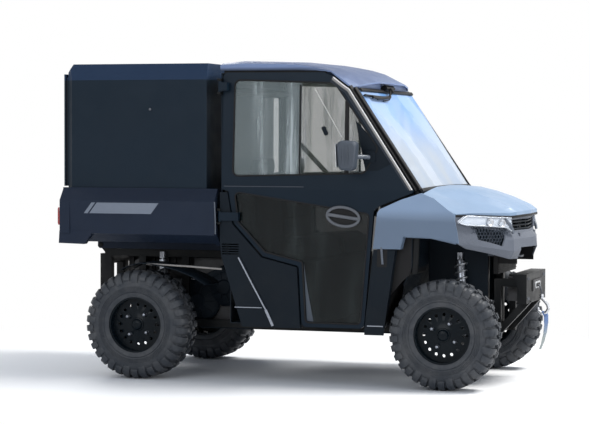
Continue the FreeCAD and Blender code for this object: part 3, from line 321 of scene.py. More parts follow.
FINISHES = {
    "tyre": rubber(),
    "rim_paint": painted("rim_black", (0.003, 0.006, 0.009), 0.24, dust=0.01, coat=0.05, shine=0.08),
    "frame_paint": painted("frame_black", (0.007, 0.008, 0.009), 0.42, dust=0.06, shine=0.14),
    "cab_paint": painted("cab_black", (0.005, 0.012, 0.021), 0.34, dust=0.01, shine=0.12),
    # Box paint with painted sky light on the faces that look up, and painted light making the strip above 1.763 m paler
    "box_paint": painted("box_coat", (0.009, 0.017, 0.027), 0.5, dust=0.01, peel=0.0006, grain=700.0, shine=0.12,
                         sky=(0.026, 0.045, 0.085), high=(1.763, (0.018, 0.036, 0.074))),
    "bed_plastic": moulded("bed_charcoal", (0.0105, 0.0175, 0.034), 0.5, dust=0.02, shine=0.16),
    "black_plastic": moulded("body_black", (0.006, 0.010, 0.015), 0.46, dust=0.02, shine=0.10),
    "blue_plastic": painted("hood_blue", (0.186, 0.267, 0.382), 0.44, dust=0.02, coat=0.06, shine=0.36),
    "grey_plastic": moulded("fascia_grey", (0.088, 0.100, 0.125), 0.5, dust=0.06, grain=1400.0, shine=0.4),
    "roof_plastic": roof_shell(),
    "engine_metal": metal("engine_alloy", (0.055, 0.056, 0.060), 0.5, cast=1.0),
    "shock_metal": metal("shock_steel", (0.32, 0.34, 0.38), 0.3),
    "seat_cover": moulded("seat_vinyl", (0.040, 0.044, 0.052), 0.55, dust=0.02, grain=700.0, shine=0.3),
    "strap": woven("strap_blue", (0.11, 0.18, 0.36), (0.37, 0.41, 0.40), 0.24, 0.37),
    "lamp": painted("lamp_silver", (0.62, 0.66, 0.73), 0.18, dust=0.0, coat=1.0, metal=0.5),
    "red_lamp": painted("lamp_red", (0.32, 0.02, 0.02), 0.15, dust=0.0, coat=1.0),
    "glass": clear_pane("pane", (0.30, 0.34, 0.36), 0.12, 0.1),
}
BLACK = FINISHES["black_plastic"]
# Fender paint with painted shade: its lower part, below the crease, darker
FENDER_BLUE = painted("fender_blue", (0.210, 0.292, 0.418), 0.42, dust=0.02, coat=0.08, shine=0.38,
                      deep=(0.940, 1.030, 0.72))
CHROME = metal("bright_chrome", (0.62, 0.64, 0.68), 0.18)
NUT_STEEL = metal("nut_steel", (0.24, 0.26, 0.30), 0.28)
SPRING = metal("spring_steel", (0.42, 0.44, 0.47), 0.3)
DARK_STEEL = metal("dark_steel", (0.10, 0.11, 0.13), 0.4)
FAIRLEAD = metal("fairlead_alloy", (0.62, 0.64, 0.66), 0.38)
BRIGHT_TRIM = metal("bright_trim", (0.52, 0.56, 0.62), 0.26)
# Pale, tan and dark paints, used among other things for the painted sheen bands along the doors' front edges
STRIP_PALE = painted("strip_pale", (0.74, 0.72, 0.69), 0.3, dust=0.05)
STRIP_TAN = painted("strip_tan", (0.24, 0.225, 0.21), 0.35, dust=0.05)
STRIP_DARK = painted("strip_dark", (0.030, 0.038, 0.052), 0.4, dust=0.0, shine=0.3)
MIRROR_GREY = moulded("mirror_grey", (0.050, 0.062, 0.080), 0.42, dust=0.0, shine=0.4)
SATIN_TRIM = painted("satin_trim", (0.085, 0.10, 0.125), 0.36, dust=0.0)
# Pale paint for the painted highlights along the lower quarters' ridges and ledges
RIDGE_HIGHLIGHT = painted("ridge_grey", (0.30, 0.32, 0.36), 0.4, dust=0.1)
MIRROR = metal("mirror_glass", (0.70, 0.74, 0.78), 0.05)
HANDLE_GREY = moulded("handle_grey", (0.085, 0.092, 0.105), 0.42, dust=0.0)
RUBBER_TRIM = moulded("seal_rubber", (0.007, 0.007, 0.008), 0.55, dust=0.02, grain=1600.0, depth=0.0002, shine=0.2)
DECAL = painted("pale_stripe", (0.155, 0.180, 0.225), 0.4, dust=0.03)
SCREEN_DARK = painted("gauge_glass", (0.010, 0.012, 0.016), 0.08, dust=0.0, coat=1.0)
CLEAR_PANE = clear_pane("front_pane", (0.085, 0.105, 0.085), 0.24, 0.05)
STREAKED_PANE = clear_pane("sliding_pane", (0.25, 0.30, 0.30), 0.31, 0.55, haze=(0.74, 0.80, 0.80),
                           smear=(11.0, 2.0, 0.7))
SMOKED_PANE = clear_pane("smoked_pane", (0.004, 0.007, 0.008), 0.64, 0.14, haze=(0.03, 0.04, 0.04),
                         smear=(7.0, 2.0, 1.2), shine=0.25)
SCREEN_PANE = screen_pane()
LENS = clear_pane("lamp_lens", (0.80, 0.86, 0.92), 0.28, 0.05)

SLOT_OF = {s["node"]: s["material_slot"] for s in frame["record"]["subparts"]}
BODY_OF = {node: body for body, nodes in frame["record"]["behaviour"]["bodies"].items() for node in nodes}

for node, thing in frame["nodes"].items():
    thing.data.materials.clear()
    thing.data.materials.append(FINISHES[SLOT_OF[node]])


# Camera, stage and light

scene = bpy.context.scene
scene.view_settings.view_transform = "Standard"


def photo_camera():
    data = bpy.data.cameras.new("photo_camera")
    data.lens = CAMERA_LENS
    data.sensor_width = CAMERA_SENSOR
    data.clip_end = 100.0
    camera = bpy.data.objects.new("photo_camera", data)
    scene.collection.objects.link(camera)
    azimuth, elevation = math.radians(CAMERA_AZIMUTH), math.radians(CAMERA_ELEVATION)
    level = math.cos(elevation)
    back = Vector((math.sin(azimuth) * level, -math.cos(azimuth) * level, math.sin(elevation)))
    turn = (-back).to_track_quat("-Z", "Y").to_matrix().to_4x4()
    camera.matrix_world = Matrix.Translation(CAMERA_SPOT) @ turn @ Matrix.Rotation(math.radians(CAMERA_ROLL), 4, "Z")
    scene.camera = camera


def stage():
    """Pale floor that fades to the white of the backdrop away from the vehicle, and keeps its shadow near it."""
    floor_mesh = bpy.data.meshes.new("floor")
    floor_mesh.from_pydata([(x * FLOOR_HALF, y * FLOOR_HALF, 0) for x, y in ((-1, -1), (1, -1), (1, 1), (-1, 1))],
                           [], [(0, 1, 2, 3)])
    floor = bpy.data.objects.new("floor", floor_mesh)
    scene.collection.objects.link(floor)
    f = Finish("pale_floor")
    speck = f.noise(3.0, 3.0).ramp(0.3, 0.7)
    f.set(Base_Color=f.blend(speck * 0.3, (0.90, 0.90, 0.90), (0.87, 0.87, 0.87)), Roughness=0.9,
          Specular_IOR_Level=0.2)
    x, y = f.axis("X"), f.axis("Y")
    away = ((x / 1.35) * (x / 1.35) + y * y).power(0.5)
    glow = f.tree.nodes.new("ShaderNodeEmission")
    mixed = f.tree.nodes.new("ShaderNodeMixShader")
    f.feed(mixed.inputs[0], away.ramp(1.3, 3.0) * f.seen())
    f.tree.links.new(f.shader.outputs[0], mixed.inputs[1])
    f.tree.links.new(glow.outputs[0], mixed.inputs[2])
    f.tree.links.new(mixed.outputs[0], f.tree.nodes["Material Output"].inputs["Surface"])
    floor_mesh.materials.append(f.material)
    floor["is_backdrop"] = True
    world = bpy.data.worlds.new("studio")
    scene.world = world
    world.use_nodes = True
    backdrop = Sheet(world.node_tree)
    colour = backdrop.blend(backdrop.seen(), (0.36, 0.40, 0.47), (1.0, 1.0, 1.0))
    backdrop.feed(backdrop.tree.nodes["Background"].inputs["Color"], colour)


def lamp(name, spot, target, size, power, colour=(1, 1, 1)):
    data = bpy.data.lights.new(name, "AREA")
    data.shape = "RECTANGLE"
    data.size, data.size_y = size
    data.energy = power
    data.color = colour
    light = bpy.data.objects.new(name, data)
    scene.collection.objects.link(light)
    way = Vector(target) - Vector(spot)
    light.matrix_world = Matrix.Translation(spot) @ way.to_track_quat("-Z", "Y").to_matrix().to_4x4()


photo_camera()
stage()
lamp("key", (4.6, 1.2, 7.6), (0.2, 0, 0.8), (3.0, 3.0), 820, (1.0, 0.99, 0.97))
lamp("fill", (-1.5, -9.0, 4.2), (0, 0, 0.9), (6.0, 3.0), 170, (0.92, 0.96, 1.0))
lamp("front", (8.0, -3.0, 2.6), (1.0, 0, 0.8), (3.0, 3.0), 120, (0.95, 0.97, 1.0))
lamp("rear", (-4.5, 5.0, 5.5), (0, 0, 0.8), (4.0, 3.0), 260)


# Building pieces

BELT_Z = 1125.0
DOOR_OUT = 640.0
DOOR_LEAN = math.radians(2.2)
ROUND_FROM = math.radians(30)
# The source is in millimetres, the frame in metres
CAD_SCALE = 1000


def link(mesh_object):
    scene.collection.objects.link(mesh_object)
    return mesh_object


def baked(thing):
    """The object with its modifiers made part of its mesh."""
    bpy.context.view_layer.update()
    made = bpy.data.meshes.new_from_object(thing.evaluated_get(bpy.context.evaluated_depsgraph_get()))
    old = thing.data
    thing.modifiers.clear()
    thing.data = made
    made.name = old.name
    return thing


def finished(thing, body, bevel=0.0, sharp=42.0, node=None):
    """Rounds the edges, shades, and rides the body, in place of a CAD node where one is named."""
    if bevel:
        round_off = thing.modifiers.new("round", "BEVEL")
        round_off.width = bevel
        round_off.segments = 2
        round_off.limit_method = "ANGLE"
        round_off.angle_limit = ROUND_FROM
        round_off.use_clamp_overlap = True
        baked(thing)
    for polygon in thing.data.polygons:
        polygon.use_smooth = True
    thing.data.set_sharp_from_angle(angle=math.radians(sharp))
    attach(thing, body)
    if node:
        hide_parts(node)


def circle(radius, sides):
    angles = [2 * math.pi * n / sides for n in range(sides)]
    return [(radius * math.cos(a), radius * math.sin(a)) for a in angles]


def pad_section(width, height, round_by):
    """Rounded oblong section as (side, up) points."""
    points = []
    for sx, sy, start in ((1, 1, 0), (-1, 1, 90), (-1, -1, 180), (1, -1, 270)):
        for n in range(4):
            a = math.radians(start + 30 * n)
            points.append((sx * (width / 2 - round_by) + round_by * math.cos(a),
                           sy * (height / 2 - round_by) + round_by * math.sin(a)))
    return points


def loop_2d(corners, rounds, steps=6):
    """Closed outline with arcs at its corners."""
    points = []
    count = len(corners)
    for n, corner in enumerate(corners):
        c = Vector(corner)
        back = (Vector(corners[n - 1]) - c).normalized()
        ahead = (Vector(corners[(n + 1) % count]) - c).normalized()
        half = back.angle(ahead) / 2
        reach = rounds[n] / math.tan(half)
        middle = c + (back + ahead).normalized() * (rounds[n] / math.sin(half))
        start, end = c + back * reach, c + ahead * reach
        first = math.atan2(start.y - middle.y, start.x - middle.x)
        sweep = math.atan2(end.y - middle.y, end.x - middle.x) - first
        sweep = (sweep + math.pi) % (2 * math.pi) - math.pi
        for k in range(steps + 1):
            a = first + sweep * k / steps
            points.append((middle.x + rounds[n] * math.cos(a), middle.y + rounds[n] * math.sin(a)))
    return points


def bent(points, radius, steps=5):
    """Open path in space with an arc at each inner corner."""
    points = [Vector(p) for p in points]
    path = [points[0]]
    for before, corner, after in zip(points, points[1:], points[2:]):
        back, ahead = (before - corner).normalized(), (after - corner).normalized()
        reach = radius / math.tan(back.angle(ahead) / 2)
        start, end = corner + back * reach, corner + ahead * reach
        for k in range(steps + 1):
            t = k / steps
            path.append(start * (1 - t) ** 2 + corner * 2 * t * (1 - t) + end * t ** 2)
    path.append(points[-1])
    return path


def clipped(points, x, keep_low):
    """The part of a closed (x, z) outline on one side of an x value."""
    kept = []
    for a, b in zip(points, points[1:] + points[:1]):
        a_in = (a[0] <= x) == keep_low
        b_in = (b[0] <= x) == keep_low
        if a_in:
            kept.append(a)
        if a_in != b_in:
            t = (x - a[0]) / (b[0] - a[0])
            kept.append((x, a[1] + t * (b[1] - a[1])))
    return kept


def on_door(x, z, depth, side):
    """Point in or on a door, depth inwards of its outer face, following the upper frame's lean."""
    if z <= BELT_Z:
        return (x, side * (DOOR_OUT - depth), z)
    rise = z - BELT_Z
    c, s = math.cos(DOOR_LEAN), math.sin(DOOR_LEAN)
    return (x, side * (DOOR_OUT - depth * c - rise * s), BELT_Z - depth * s + rise * c)


class Form:
    """A piece in the making, in millimetres: shapes are added, then it's finished as one mesh."""

    def __init__(self, name):
        self.name = name
        self.work = bmesh.new()

    def _skin(self, rings, closed_path, closed_section=True):
        grid = [[self.work.verts.new(Vector(p) / CAD_SCALE) for p in ring] for ring in rings]
        pairs = list(zip(grid, grid[1:]))
        if closed_path:
            pairs.append((grid[-1], grid[0]))
        for a, b in pairs:
            count = len(a)
            for n in range(count if closed_section else count - 1):
                m = (n + 1) % count
                self.work.faces.new((a[n], a[m], b[m], b[n]))
        if not closed_path:
            self.work.faces.new(list(reversed(grid[0])))
            self.work.faces.new(grid[-1])
        return self

    def sweep(self, path, section, up=(0, 0, 1), closed=False):
        """A section of (side, up) points carried along a path."""
        path = [Vector(p) for p in path]
        count = len(path)
        rings = []
        for n, place in enumerate(path):
            before = path[n - 1] if n or closed else place
            after = path[(n + 1) % count] if n < count - 1 or closed else place
            way = after - before
            side = way.cross(Vector(up)).normalized()
            top = side.cross(way).normalized()
            rings.append([place + side * u + top * v for u, v in section])
        return self._skin(rings, closed)

    def tube(self, path, radius, sides=12, up=(0.13, 0.21, 0.97)):
        return self.sweep(path, circle(radius, sides), up)

    def loft(self, rings, closed=False):
        return self._skin(rings, closed)

    def lathe(self, profile, centre, axis=(0, 1, 0), steps=48, whole=True):
        """Points (radius, along) turned about an axis through the centre; whole joins the last point to the first."""
        axis = Vector(axis).normalized()
        first = axis.orthogonal().normalized()
        second = axis.cross(first)
        rings = []
        for n in range(steps):
            a = 2 * math.pi * n / steps
            out = first * math.cos(a) + second * math.sin(a)
            rings.append([Vector(centre) + out * r + axis * h for r, h in profile])
        return self._skin(rings, True, whole)

    def slab(self, outline, push):
        push = Vector(push)
        return self.loft([[Vector(p) for p in outline], [Vector(p) + push for p in outline]])

    def block(self, low, high):
        (x0, y0, z0), (x1, y1, z1) = low, high
        return self.slab([(x0, y0, z0), (x1, y0, z0), (x1, y1, z0), (x0, y1, z0)], (0, 0, z1 - z0))

    def mesh(self):
        bmesh.ops.remove_doubles(self.work, verts=self.work.verts, dist=1e-6)
        bmesh.ops.dissolve_degenerate(self.work, edges=self.work.edges, dist=1e-6)
        bmesh.ops.recalc_face_normals(self.work, faces=self.work.faces)
        mesh = bpy.data.meshes.new(self.name)
        self.work.to_mesh(mesh)
        self.work.free()
        return mesh

    def done(self, body, finish, bevel=0.0, sharp=42.0, node=None):
        thing = link(bpy.data.objects.new(self.name, self.mesh()))
        thing.data.materials.append(finish)
        finished(thing, body, bevel, sharp, node)


def repeat_tree():
    """Geometry Nodes group: the template set at each point of a carrier, turned as the point says."""
    tree = bpy.data.node_groups.new("set_repeats", "GeometryNodeTree")
    for label, kind in (("Points", "Geometry"), ("Template", "Object"), ("Finish", "Material"), ("Size", "Float")):
        given = tree.interface.new_socket(label, in_out="INPUT", socket_type="NodeSocket" + kind)
    # The last of them is the size
    given.default_value = 1.0
    tree.interface.new_socket("Geometry", in_out="OUTPUT", socket_type="NodeSocketGeometry")
    node = tree.nodes.new
    start, end = node("NodeGroupInput"), node("NodeGroupOutput")
    source, turn = node("GeometryNodeObjectInfo"), node("GeometryNodeInputNamedAttribute")
    place, real = node("GeometryNodeInstanceOnPoints"), node("GeometryNodeRealizeInstances")
    paint = node("GeometryNodeSetMaterial")
    turn.data_type = "FLOAT_VECTOR"
    turn.inputs["Name"].default_value = "turn"
    for giver, output, taker, entry in (
            (start, "Points", place, "Points"), (start, "Template", source, "Object"),
            (source, "Geometry", place, "Instance"), (turn, "Attribute", place, "Rotation"),
            (start, "Size", place, "Scale"), (place, "Instances", real, "Geometry"),
            (real, "Geometry", paint, "Geometry"), (start, "Finish", paint, "Material"),
            (paint, "Geometry", end, "Geometry")):
        tree.links.new(giver.outputs[output], taker.inputs[entry])
    return tree


REPEATS = repeat_tree()


def repeated(name, body, template, spots, finish, bevel=0.0):
    """Copies of a template Form at (place in mm, rotation matrix) spots, as one piece of one body."""
    pattern = link(bpy.data.objects.new(name + "_pattern", template.mesh()))
    if bevel:
        edge = pattern.modifiers.new("round", "BEVEL")
        edge.width, edge.segments, edge.limit_method = bevel, 1, "ANGLE"
        baked(pattern)
    points = bpy.data.meshes.new(name)
    points.from_pydata([Vector(place) / CAD_SCALE for place, _ in spots], [], [])
    turns = points.attributes.new("turn", "FLOAT_VECTOR", "POINT")
    turns.data.foreach_set("vector", [v for _, turn in spots for v in turn.to_euler("XYZ")])
    carrier = link(bpy.data.objects.new(name, points))
    setting = carrier.modifiers.new("repeats", "NODES")
    setting.node_group = REPEATS
    for item in REPEATS.interface.items_tree:
        if item.in_out == "INPUT" and item.name in ("Template", "Finish"):
            setting[item.identifier] = pattern if item.name == "Template" else finish
    baked(carrier)
    bpy.data.objects.remove(pattern)
    if not carrier.data.materials:
        carrier.data.materials.append(finish)
    finished(carrier, body)


def facing(direction):
    """Rotation that turns +Z to a level direction."""
    z = Vector(direction).normalized()
    side = Vector((0, 0, 1)).cross(z).normalized()
    return Matrix((side, z.cross(side), z)).transposed()


def softened(node, width=0.002, angle_sharp=42.0, shape=None, finish=None):
    """A copy of a CAD node with its sharp edges rounded, in place of the node."""
    work = bmesh.new()
    work.from_mesh(frame["nodes"][node].data)
    bmesh.ops.remove_doubles(work, verts=work.verts, dist=0.00002)
    bmesh.ops.dissolve_degenerate(work, edges=work.edges, dist=0.00005)
    bmesh.ops.dissolve_limit(work, angle_limit=math.radians(1.0), verts=work.verts, edges=work.edges)
    if shape:
        shape(work)
    mesh = bpy.data.meshes.new(node + "_dressed")
    work.to_mesh(mesh)
    work.free()
    piece = link(bpy.data.objects.new(node + "_dressed", mesh))
    mesh.materials.append(finish or FINISHES[SLOT_OF[node]])
    finished(piece, BODY_OF[node], width, angle_sharp, node)


def fender_shoulder(work):
    """Creases the fender and leans the part above the crease inwards."""
    crease_x, crease_z, crease_slope, lean = 0.570, 0.974, 0.0517, 0.11
    bmesh.ops.bisect_plane(work, geom=work.verts[:] + work.edges[:] + work.faces[:], dist=0.00001,
                           plane_co=(crease_x, 0, crease_z), plane_no=(crease_slope, 0, 1))
    for vert in work.verts:
        rise = vert.co.z - (crease_z - (vert.co.x - crease_x) * crease_slope)
        if rise > 0.0001:
            vert.co.y -= math.copysign(rise * lean, vert.co.y)


# node, width of the rounded edge, angle from which an edge stays a crease
SOFTENED = (
    ("cargo_box", 0.003, 8), ("bed_tub", 0.004, 10), ("roof", 0.004, 26), ("hood", 0.002, 9),
    ("front_fascia", 0.002, 12), ("door_left", 0.003, 14), ("door_right", 0.003, 14), ("side_panels", 0.002, 12),
    ("winch_bumper", 0.003, 20), ("box_hatch", 0.003, 20), ("tailgate", 0.003, 20), ("chassis_frame", 0.003, 30),
    ("floor_tub", 0.002, 20), ("dashboard", 0.006, 20), ("skid_plate", 0.002, 20), ("cab_back", 0.002, 20),
    ("rim_front_left", 0.0012, 42), ("rim_front_right", 0.0012, 42), ("rim_rear_left", 0.0012, 42),
    ("rim_rear_right", 0.0012, 42),
)
for node, width, crease in SOFTENED:
    softened(node, width, crease)
softened("fenders", 0.002, 4.0, fender_shoulder, FENDER_BLUE)

# Short calls for the commonest pieces

UP = (0, 0, 1)


def mirrored(side, *points):
    """Points given for the left side, carried to the side named by 1 or -1."""
    return [(x, side * y, z) for x, y, z in points]


def upright(outline, y):
    """An (x, z) outline set on the plane at y."""
    return [(x, y, z) for x, z in outline]


def crosswise(outline, x):
    """A (y, z) outline set on the plane at x."""
    return [(x, y, z) for y, z in outline]


def strip(name, body, path, size, up, finish, closed=False, sharp=50, node=None):
    """A rounded bar of (width, height, rounding) along a path."""
    Form(name).sweep(path, pad_section(*size), up, closed).done(body, finish, sharp=sharp, node=node)


def plate(name, body, outline, push, finish, **more):
    Form(name).slab(outline, push).done(body, finish, **more)


def pipe(name, body, path, radius, finish, sides=12):
    Form(name).tube(path, radius, sides).done(body, finish)


def turned(name, body, profile, centre, axis, steps, finish, **more):
    Form(name).lathe(profile, centre, axis, steps, whole=False).done(body, finish, **more)


# Wheels

GROOVE_DEPTH = 15
DISC_INSET = 70
NUT_CIRCLE = 75
LUG_PAIRS = 17
LUG_TAPER = 0.28
# radius, distance in from the half width: bead and lower sidewall
CASING_FOOT = ((161, 26), (172, 24), (172, 14.6), (164.5, 14.4), (163.5, 11.5), (169, 7.5), (182, 4.5), (190, 3.5),
               (193, 6), (196, 3))
# radius above the ring's foot, distance out from the half width: one raised ring of the sidewall
CASING_RING = ((0, -1.5), (1.2, 0.8), (4.2, 0.8), (5.4, -1.5))
# word, outline of (share of the half width, radius below the tread's top), block width, first angle in pitches
LUGS = (
    ("long", ((0.34, 18), (0.34, 0.5), (0.60, 0.5), (0.80, 8), (0.93, 24), (0.995, 44), (1.005, 70), (0.96, 76),
              (0.7, 27)), 40.0, 0.0),
    ("short", ((0.22, 18), (0.22, 0.5), (0.60, 0.5), (0.80, 8), (0.93, 24), (0.995, 44), (0.998, 53), (0.96, 59),
               (0.7, 27)), 38.0, 0.5),
    ("centre_a", ((0.03, 18), (0.03, 0), (0.26, 0), (0.26, 18)), 36.0, 0.62),
    ("centre_b", ((0.03, 18), (0.03, 0), (0.15, 0), (0.15, 18)), 34.0, 0.12),
)


def tyre_carcass(name, body, node, centre, radius, width):
    half = width / 2
    crown = radius - GROOVE_DEPTH
    side = [(r, half - inset) for r, inset in CASING_FOOT]
    for n in range(4):
        side += [(200 + n * 7.5 + rise, half + out) for rise, out in CASING_RING]
    side += [(crown - 58, half - 3), (crown - 30, half - 11), (crown - 12, half - 20), (crown, half * 0.64),
             (crown, half * 0.2)]
    profile = side + [(r, -y) for r, y in reversed(side)]
    Form(name).lathe(profile, centre, steps=72).done(body, FINISHES["tyre"], sharp=38, node=node)


def lug(name, outline, width, crown):
    """Block across the tread with this (y, radius) outline, narrower towards its top."""
    return Form(name).loft([[(way * (width / 2 - max(0.0, r - crown) * LUG_TAPER), y, r) for y, r in outline]
                            for way in (-1, 1)])


def tread(name, body, centre, radius, width):
    for side, suffix, shift in ((-1, "n1", 0.0), (1, "1", 0.25)):
        for word, outline, block, first in LUGS:
            pattern = lug(word, [(side * share * (width / 2), radius - depth) for share, depth in outline],
                          block, radius - GROOVE_DEPTH)
            spots = [(centre, Matrix.Rotation(2 * math.pi * (n + first + shift) / LUG_PAIRS, 3, "Y"))
                     for n in range(LUG_PAIRS)]
            repeated(f"{name}_{word}_{suffix}", body, pattern, spots, FINISHES["tyre"], bevel=0.0018)


def wheel_fittings(name, body, centre, width, side):
    """Lug nuts, hub cap and valve on the outer face of a rim."""
    face = width / 2 - DISC_INSET
    x, y, z = centre
    nut = Form(name + "_nut")
    nut.lathe([(0, -2), (14, -2), (14, 3), (11.5, 6), (11.5, 19), (8, 25), (0, 27)], (0, 0, 0), UP, 6, whole=False)
    spots = []
    for n in range(4):
        angle = math.radians((62 if x > 0 else 52) + 90 * n)
        place = (x + NUT_CIRCLE * math.cos(angle), y + side * (face + 10), z + NUT_CIRCLE * math.sin(angle))
        spots.append((place, facing((0, side, 0))))
    repeated(name + "_nuts", body, nut, spots, NUT_STEEL, bevel=0.0008)
    cap = [(r, face + out) for r, out in
           ((0, 40), (12, 39.5), (25, 36), (31, 30), (33, 24), (39, 22), (41, 17), (0, 17))]
    turned(name + "_cap", body, cap, centre, (0, side, 0), 32, FINISHES["rim_paint"], sharp=30)
    stem = [(x + ahead, y + side * (face + out), z) for ahead, out in ((138, 2), (130, 22), (128, 34))]
    pipe(name + "_valve", body, stem, 4, RUBBER_TRIM, 8)


# end of the vehicle, axle x, tyre radius, tyre width, distance of its centre plane from the middle
for end, axle, radius, width, track in (("front", 952.0, 313.0, 203.0, 607.0), ("rear", -902.0, 320.0, 254.0, 585.0)):
    for word, side in SIDES:
        tag = f"{end}_{word}"
        spot = (axle, side * track, radius)
        tyre_carcass("carcass_" + tag, "wheel_" + tag, "tyre_" + tag, spot, radius, width)
        tread("tread_" + tag, "wheel_" + tag, spot, radius, width)
        wheel_fittings("wheel_" + tag, "wheel_" + tag, spot, width, side)


# Suspension springs

COIL_RADIUS, COIL_TURNS, COIL_STEPS = 33, 9, 9 * 14
# end of the vehicle, axle x, y of the lower eye, z of the upper eye, finish
for end, axle, foot_y, head_z, steel in (("front", 952.0, 383, 750, SPRING), ("rear", -902.0, 338, 720, DARK_STEEL)):
    for word, side in SIDES:
        foot = Vector((axle + 62, side * foot_y, 256))
        way = Vector((axle, side * 252, head_z)) - foot
        length = way.length
        way.normalize()
        across = way.orthogonal().normalized()
        other = way.cross(across)
        low, high = length * 0.18, length - 52
        coil = []
        for n in range(COIL_STEPS + 1):
            a = 2 * math.pi * n * COIL_TURNS / COIL_STEPS
            coil.append(foot + way * (low + (high - low) * n / COIL_STEPS) + across * COIL_RADIUS * math.cos(a)
                        + other * COIL_RADIUS * math.sin(a))
        Form(f"spring_{end}_{word}").tube(coil, 5.5, 8, up=tuple(way)).done("body", steel)


# Cab

WINDOW = [(-314, 1200), (480, 1221), (560, 1364), (298, 1738), (-308, 1760)]
WINDOW_ROUNDS = (34, 34, 34, 54, 34)
LOWER_PANE = [(-278, 934), (-114, 762), (113, 709), (132, 359), (460, 359), (511, 990), (-302, 1108)]
LOWER_ROUNDS = (24, 24, 16, 24, 24, 24, 24)
SLIDER_X = 92.0


def dress_door(word, side):
    """Panes, seals, trim, painted sheen along the front edge, handle and mirror of one door."""
    door, outward = f"door_{word}", (0, side, 0)

    def on(points, depth):
        return [on_door(x, z, depth, side) for x, z in points]

    def pane(name, outline, depth, thick, finish, **more):
        plate(f"{name}_{word}", door, on(outline, depth), (0, -side * thick, 0), finish, **more)

    def rail(name, points, depth, size, finish, **more):
        strip(f"{name}_{word}", door, on(points, depth), size, outward, finish, **more)

    window, lower = loop_2d(WINDOW, WINDOW_ROUNDS), loop_2d(LOWER_PANE, LOWER_ROUNDS)
    rail("window_seal", window, 1, (9, 8, 2.5), RUBBER_TRIM, closed=True)
    rail("pane_seal", lower, 1, (9, 8, 2.5), RUBBER_TRIM, closed=True)
    pane("front_pane", clipped(window, SLIDER_X - 8, False), 11, 4, CLEAR_PANE, sharp=30, node=f"door_glass_{word}")
    pane("sliding_pane", clipped(window, SLIDER_X + 8, True), 5, 4, STREAKED_PANE, sharp=30)
    pane("lower_glass", lower, 11, 5, SMOKED_PANE, sharp=30)
    bars = Form(f"window_bars_{word}")
    bars.sweep(on([(SLIDER_X, z) for z in (1216, 1400, 1730)], 6), pad_section(10, 10, 2), outward)
    bars.sweep(on([(371, z) for z in (1220, 1400, 1634)], 9), pad_section(24, 12, 3), outward)
    bars.done(door, RUBBER_TRIM, sharp=50)
    pane("pane_latch", loop_2d([(216, 1482), (240, 1434), (262, 1446), (238, 1494)], (6,) * 4, 3), 7, 8, BLACK,
         bevel=0.002)
    pane("pane_wedge", [(119, 704), (137, 366), (178, 366), (140, 560)], 8, 2, MIRROR_GREY, bevel=0.0005)
    rail("belt_strip", [(x, 1141) for x in (-366, -120, 118)], -1.0, (6, 4, 1.2), STRIP_DARK)
    # Painted sheen along the front edge of the upper frame, pale and tan highlights with dark bands between, standing
    # in for the shine of a glossy edge: distance from the edge, width, finish
    for inset, wide, trim in ((4, 7, STRIP_PALE), (14, 11, STRIP_TAN), (25, 4, STRIP_DARK), (33, 4, STRIP_DARK)):
        edge = [(x - inset * x_share, max(z - inset * z_share, 1129)) for x, z, x_share, z_share in
                ((766, 1130, 0.834, 0.551), (388, 1702, 0.834, 0.551), (348, 1730, 0.56, 0.83), (290, 1775, 0.6, 0.8))]
        rail(f"edge_strip_{inset}", edge, -1.5, (wide, 4, 1.2), trim)
    # A thin pale line across the front pane
    rail("pane_score", [(176, 1706), (340, 1430)], 9.5, (3, 1.2, 0.4), STRIP_PALE)
    pane("mirror_plate", [(424, 1524), (575, 1364), (640, 1275), (560, 1236), (486, 1234)], -1, 9, BLACK, bevel=0.003)

    def oval(grow):
        """Outline of the handle, tilted a little down towards the front."""
        ring = []
        for n in range(32):
            a = 2 * math.pi * n / 32
            u, v = (96 + grow) * math.cos(a), (54 + grow) * math.sin(a)
            ring.append((358 + u * 0.99 + v * 0.13, 973 - u * 0.13 + v * 0.99))
        return ring

    rail("door_handle", oval(0), -6, (17, 15, 6), HANDLE_GREY, closed=True, sharp=60, node=f"door_fittings_{word}")
    pane("handle_cup", oval(-2), -1.5, 4, RUBBER_TRIM)
    rail("handle_bar", [(264, 985), (300, 981), (414, 965), (452, 960)], -9, (20, 14, 6), HANDLE_GREY, sharp=60)

    outline = loop_2d([(366, 1238), (458, 1236), (474, 1406), (352, 1410)], (30, 26, 26, 30), 5)
    middle_x, middle_z = [sum(point[k] for point in outline) / len(outline) for k in (0, 1)]
    pod = Form(f"mirror_pod_{word}")
    # y, size of the section, lean forward
    slices = ((702, 0.82, 0), (712, 0.97, 0), (752, 1.0, 2), (788, 0.97, 4), (800, 0.8, 6))
    pod.loft([[(middle_x + (x - middle_x) * scale + lean, side * y, middle_z + (z - middle_z) * scale)
               for x, z in outline] for y, scale, lean in slices])
    for x in (388, 410, 432):
        pod.sweep(mirrored(side, (x, 798, 1262), (x, 803, 1320), (x, 798, 1384)), pad_section(7, 5, 2), outward)
    pod.done(door, MIRROR_GREY, bevel=0.002, sharp=50)
    glass = mirrored(side, (356, 712, 1258), (356, 790, 1258), (350, 790, 1392), (350, 712, 1392))
    plate(f"mirror_glass_{word}", door, glass, (4, 0, 0), MIRROR, bevel=0.002)
    arm = mirrored(side, (508, 636, 1314), (486, 664, 1316), (440, 706, 1316))
    pipe(f"mirror_arm_{word}", door, arm, 13, SATIN_TRIM)
    pane("mirror_foot", loop_2d([(472, 1282), (548, 1282), (548, 1348), (472, 1352)], (20,) * 4, 4), -8, 12, BLACK,
         bevel=0.003)


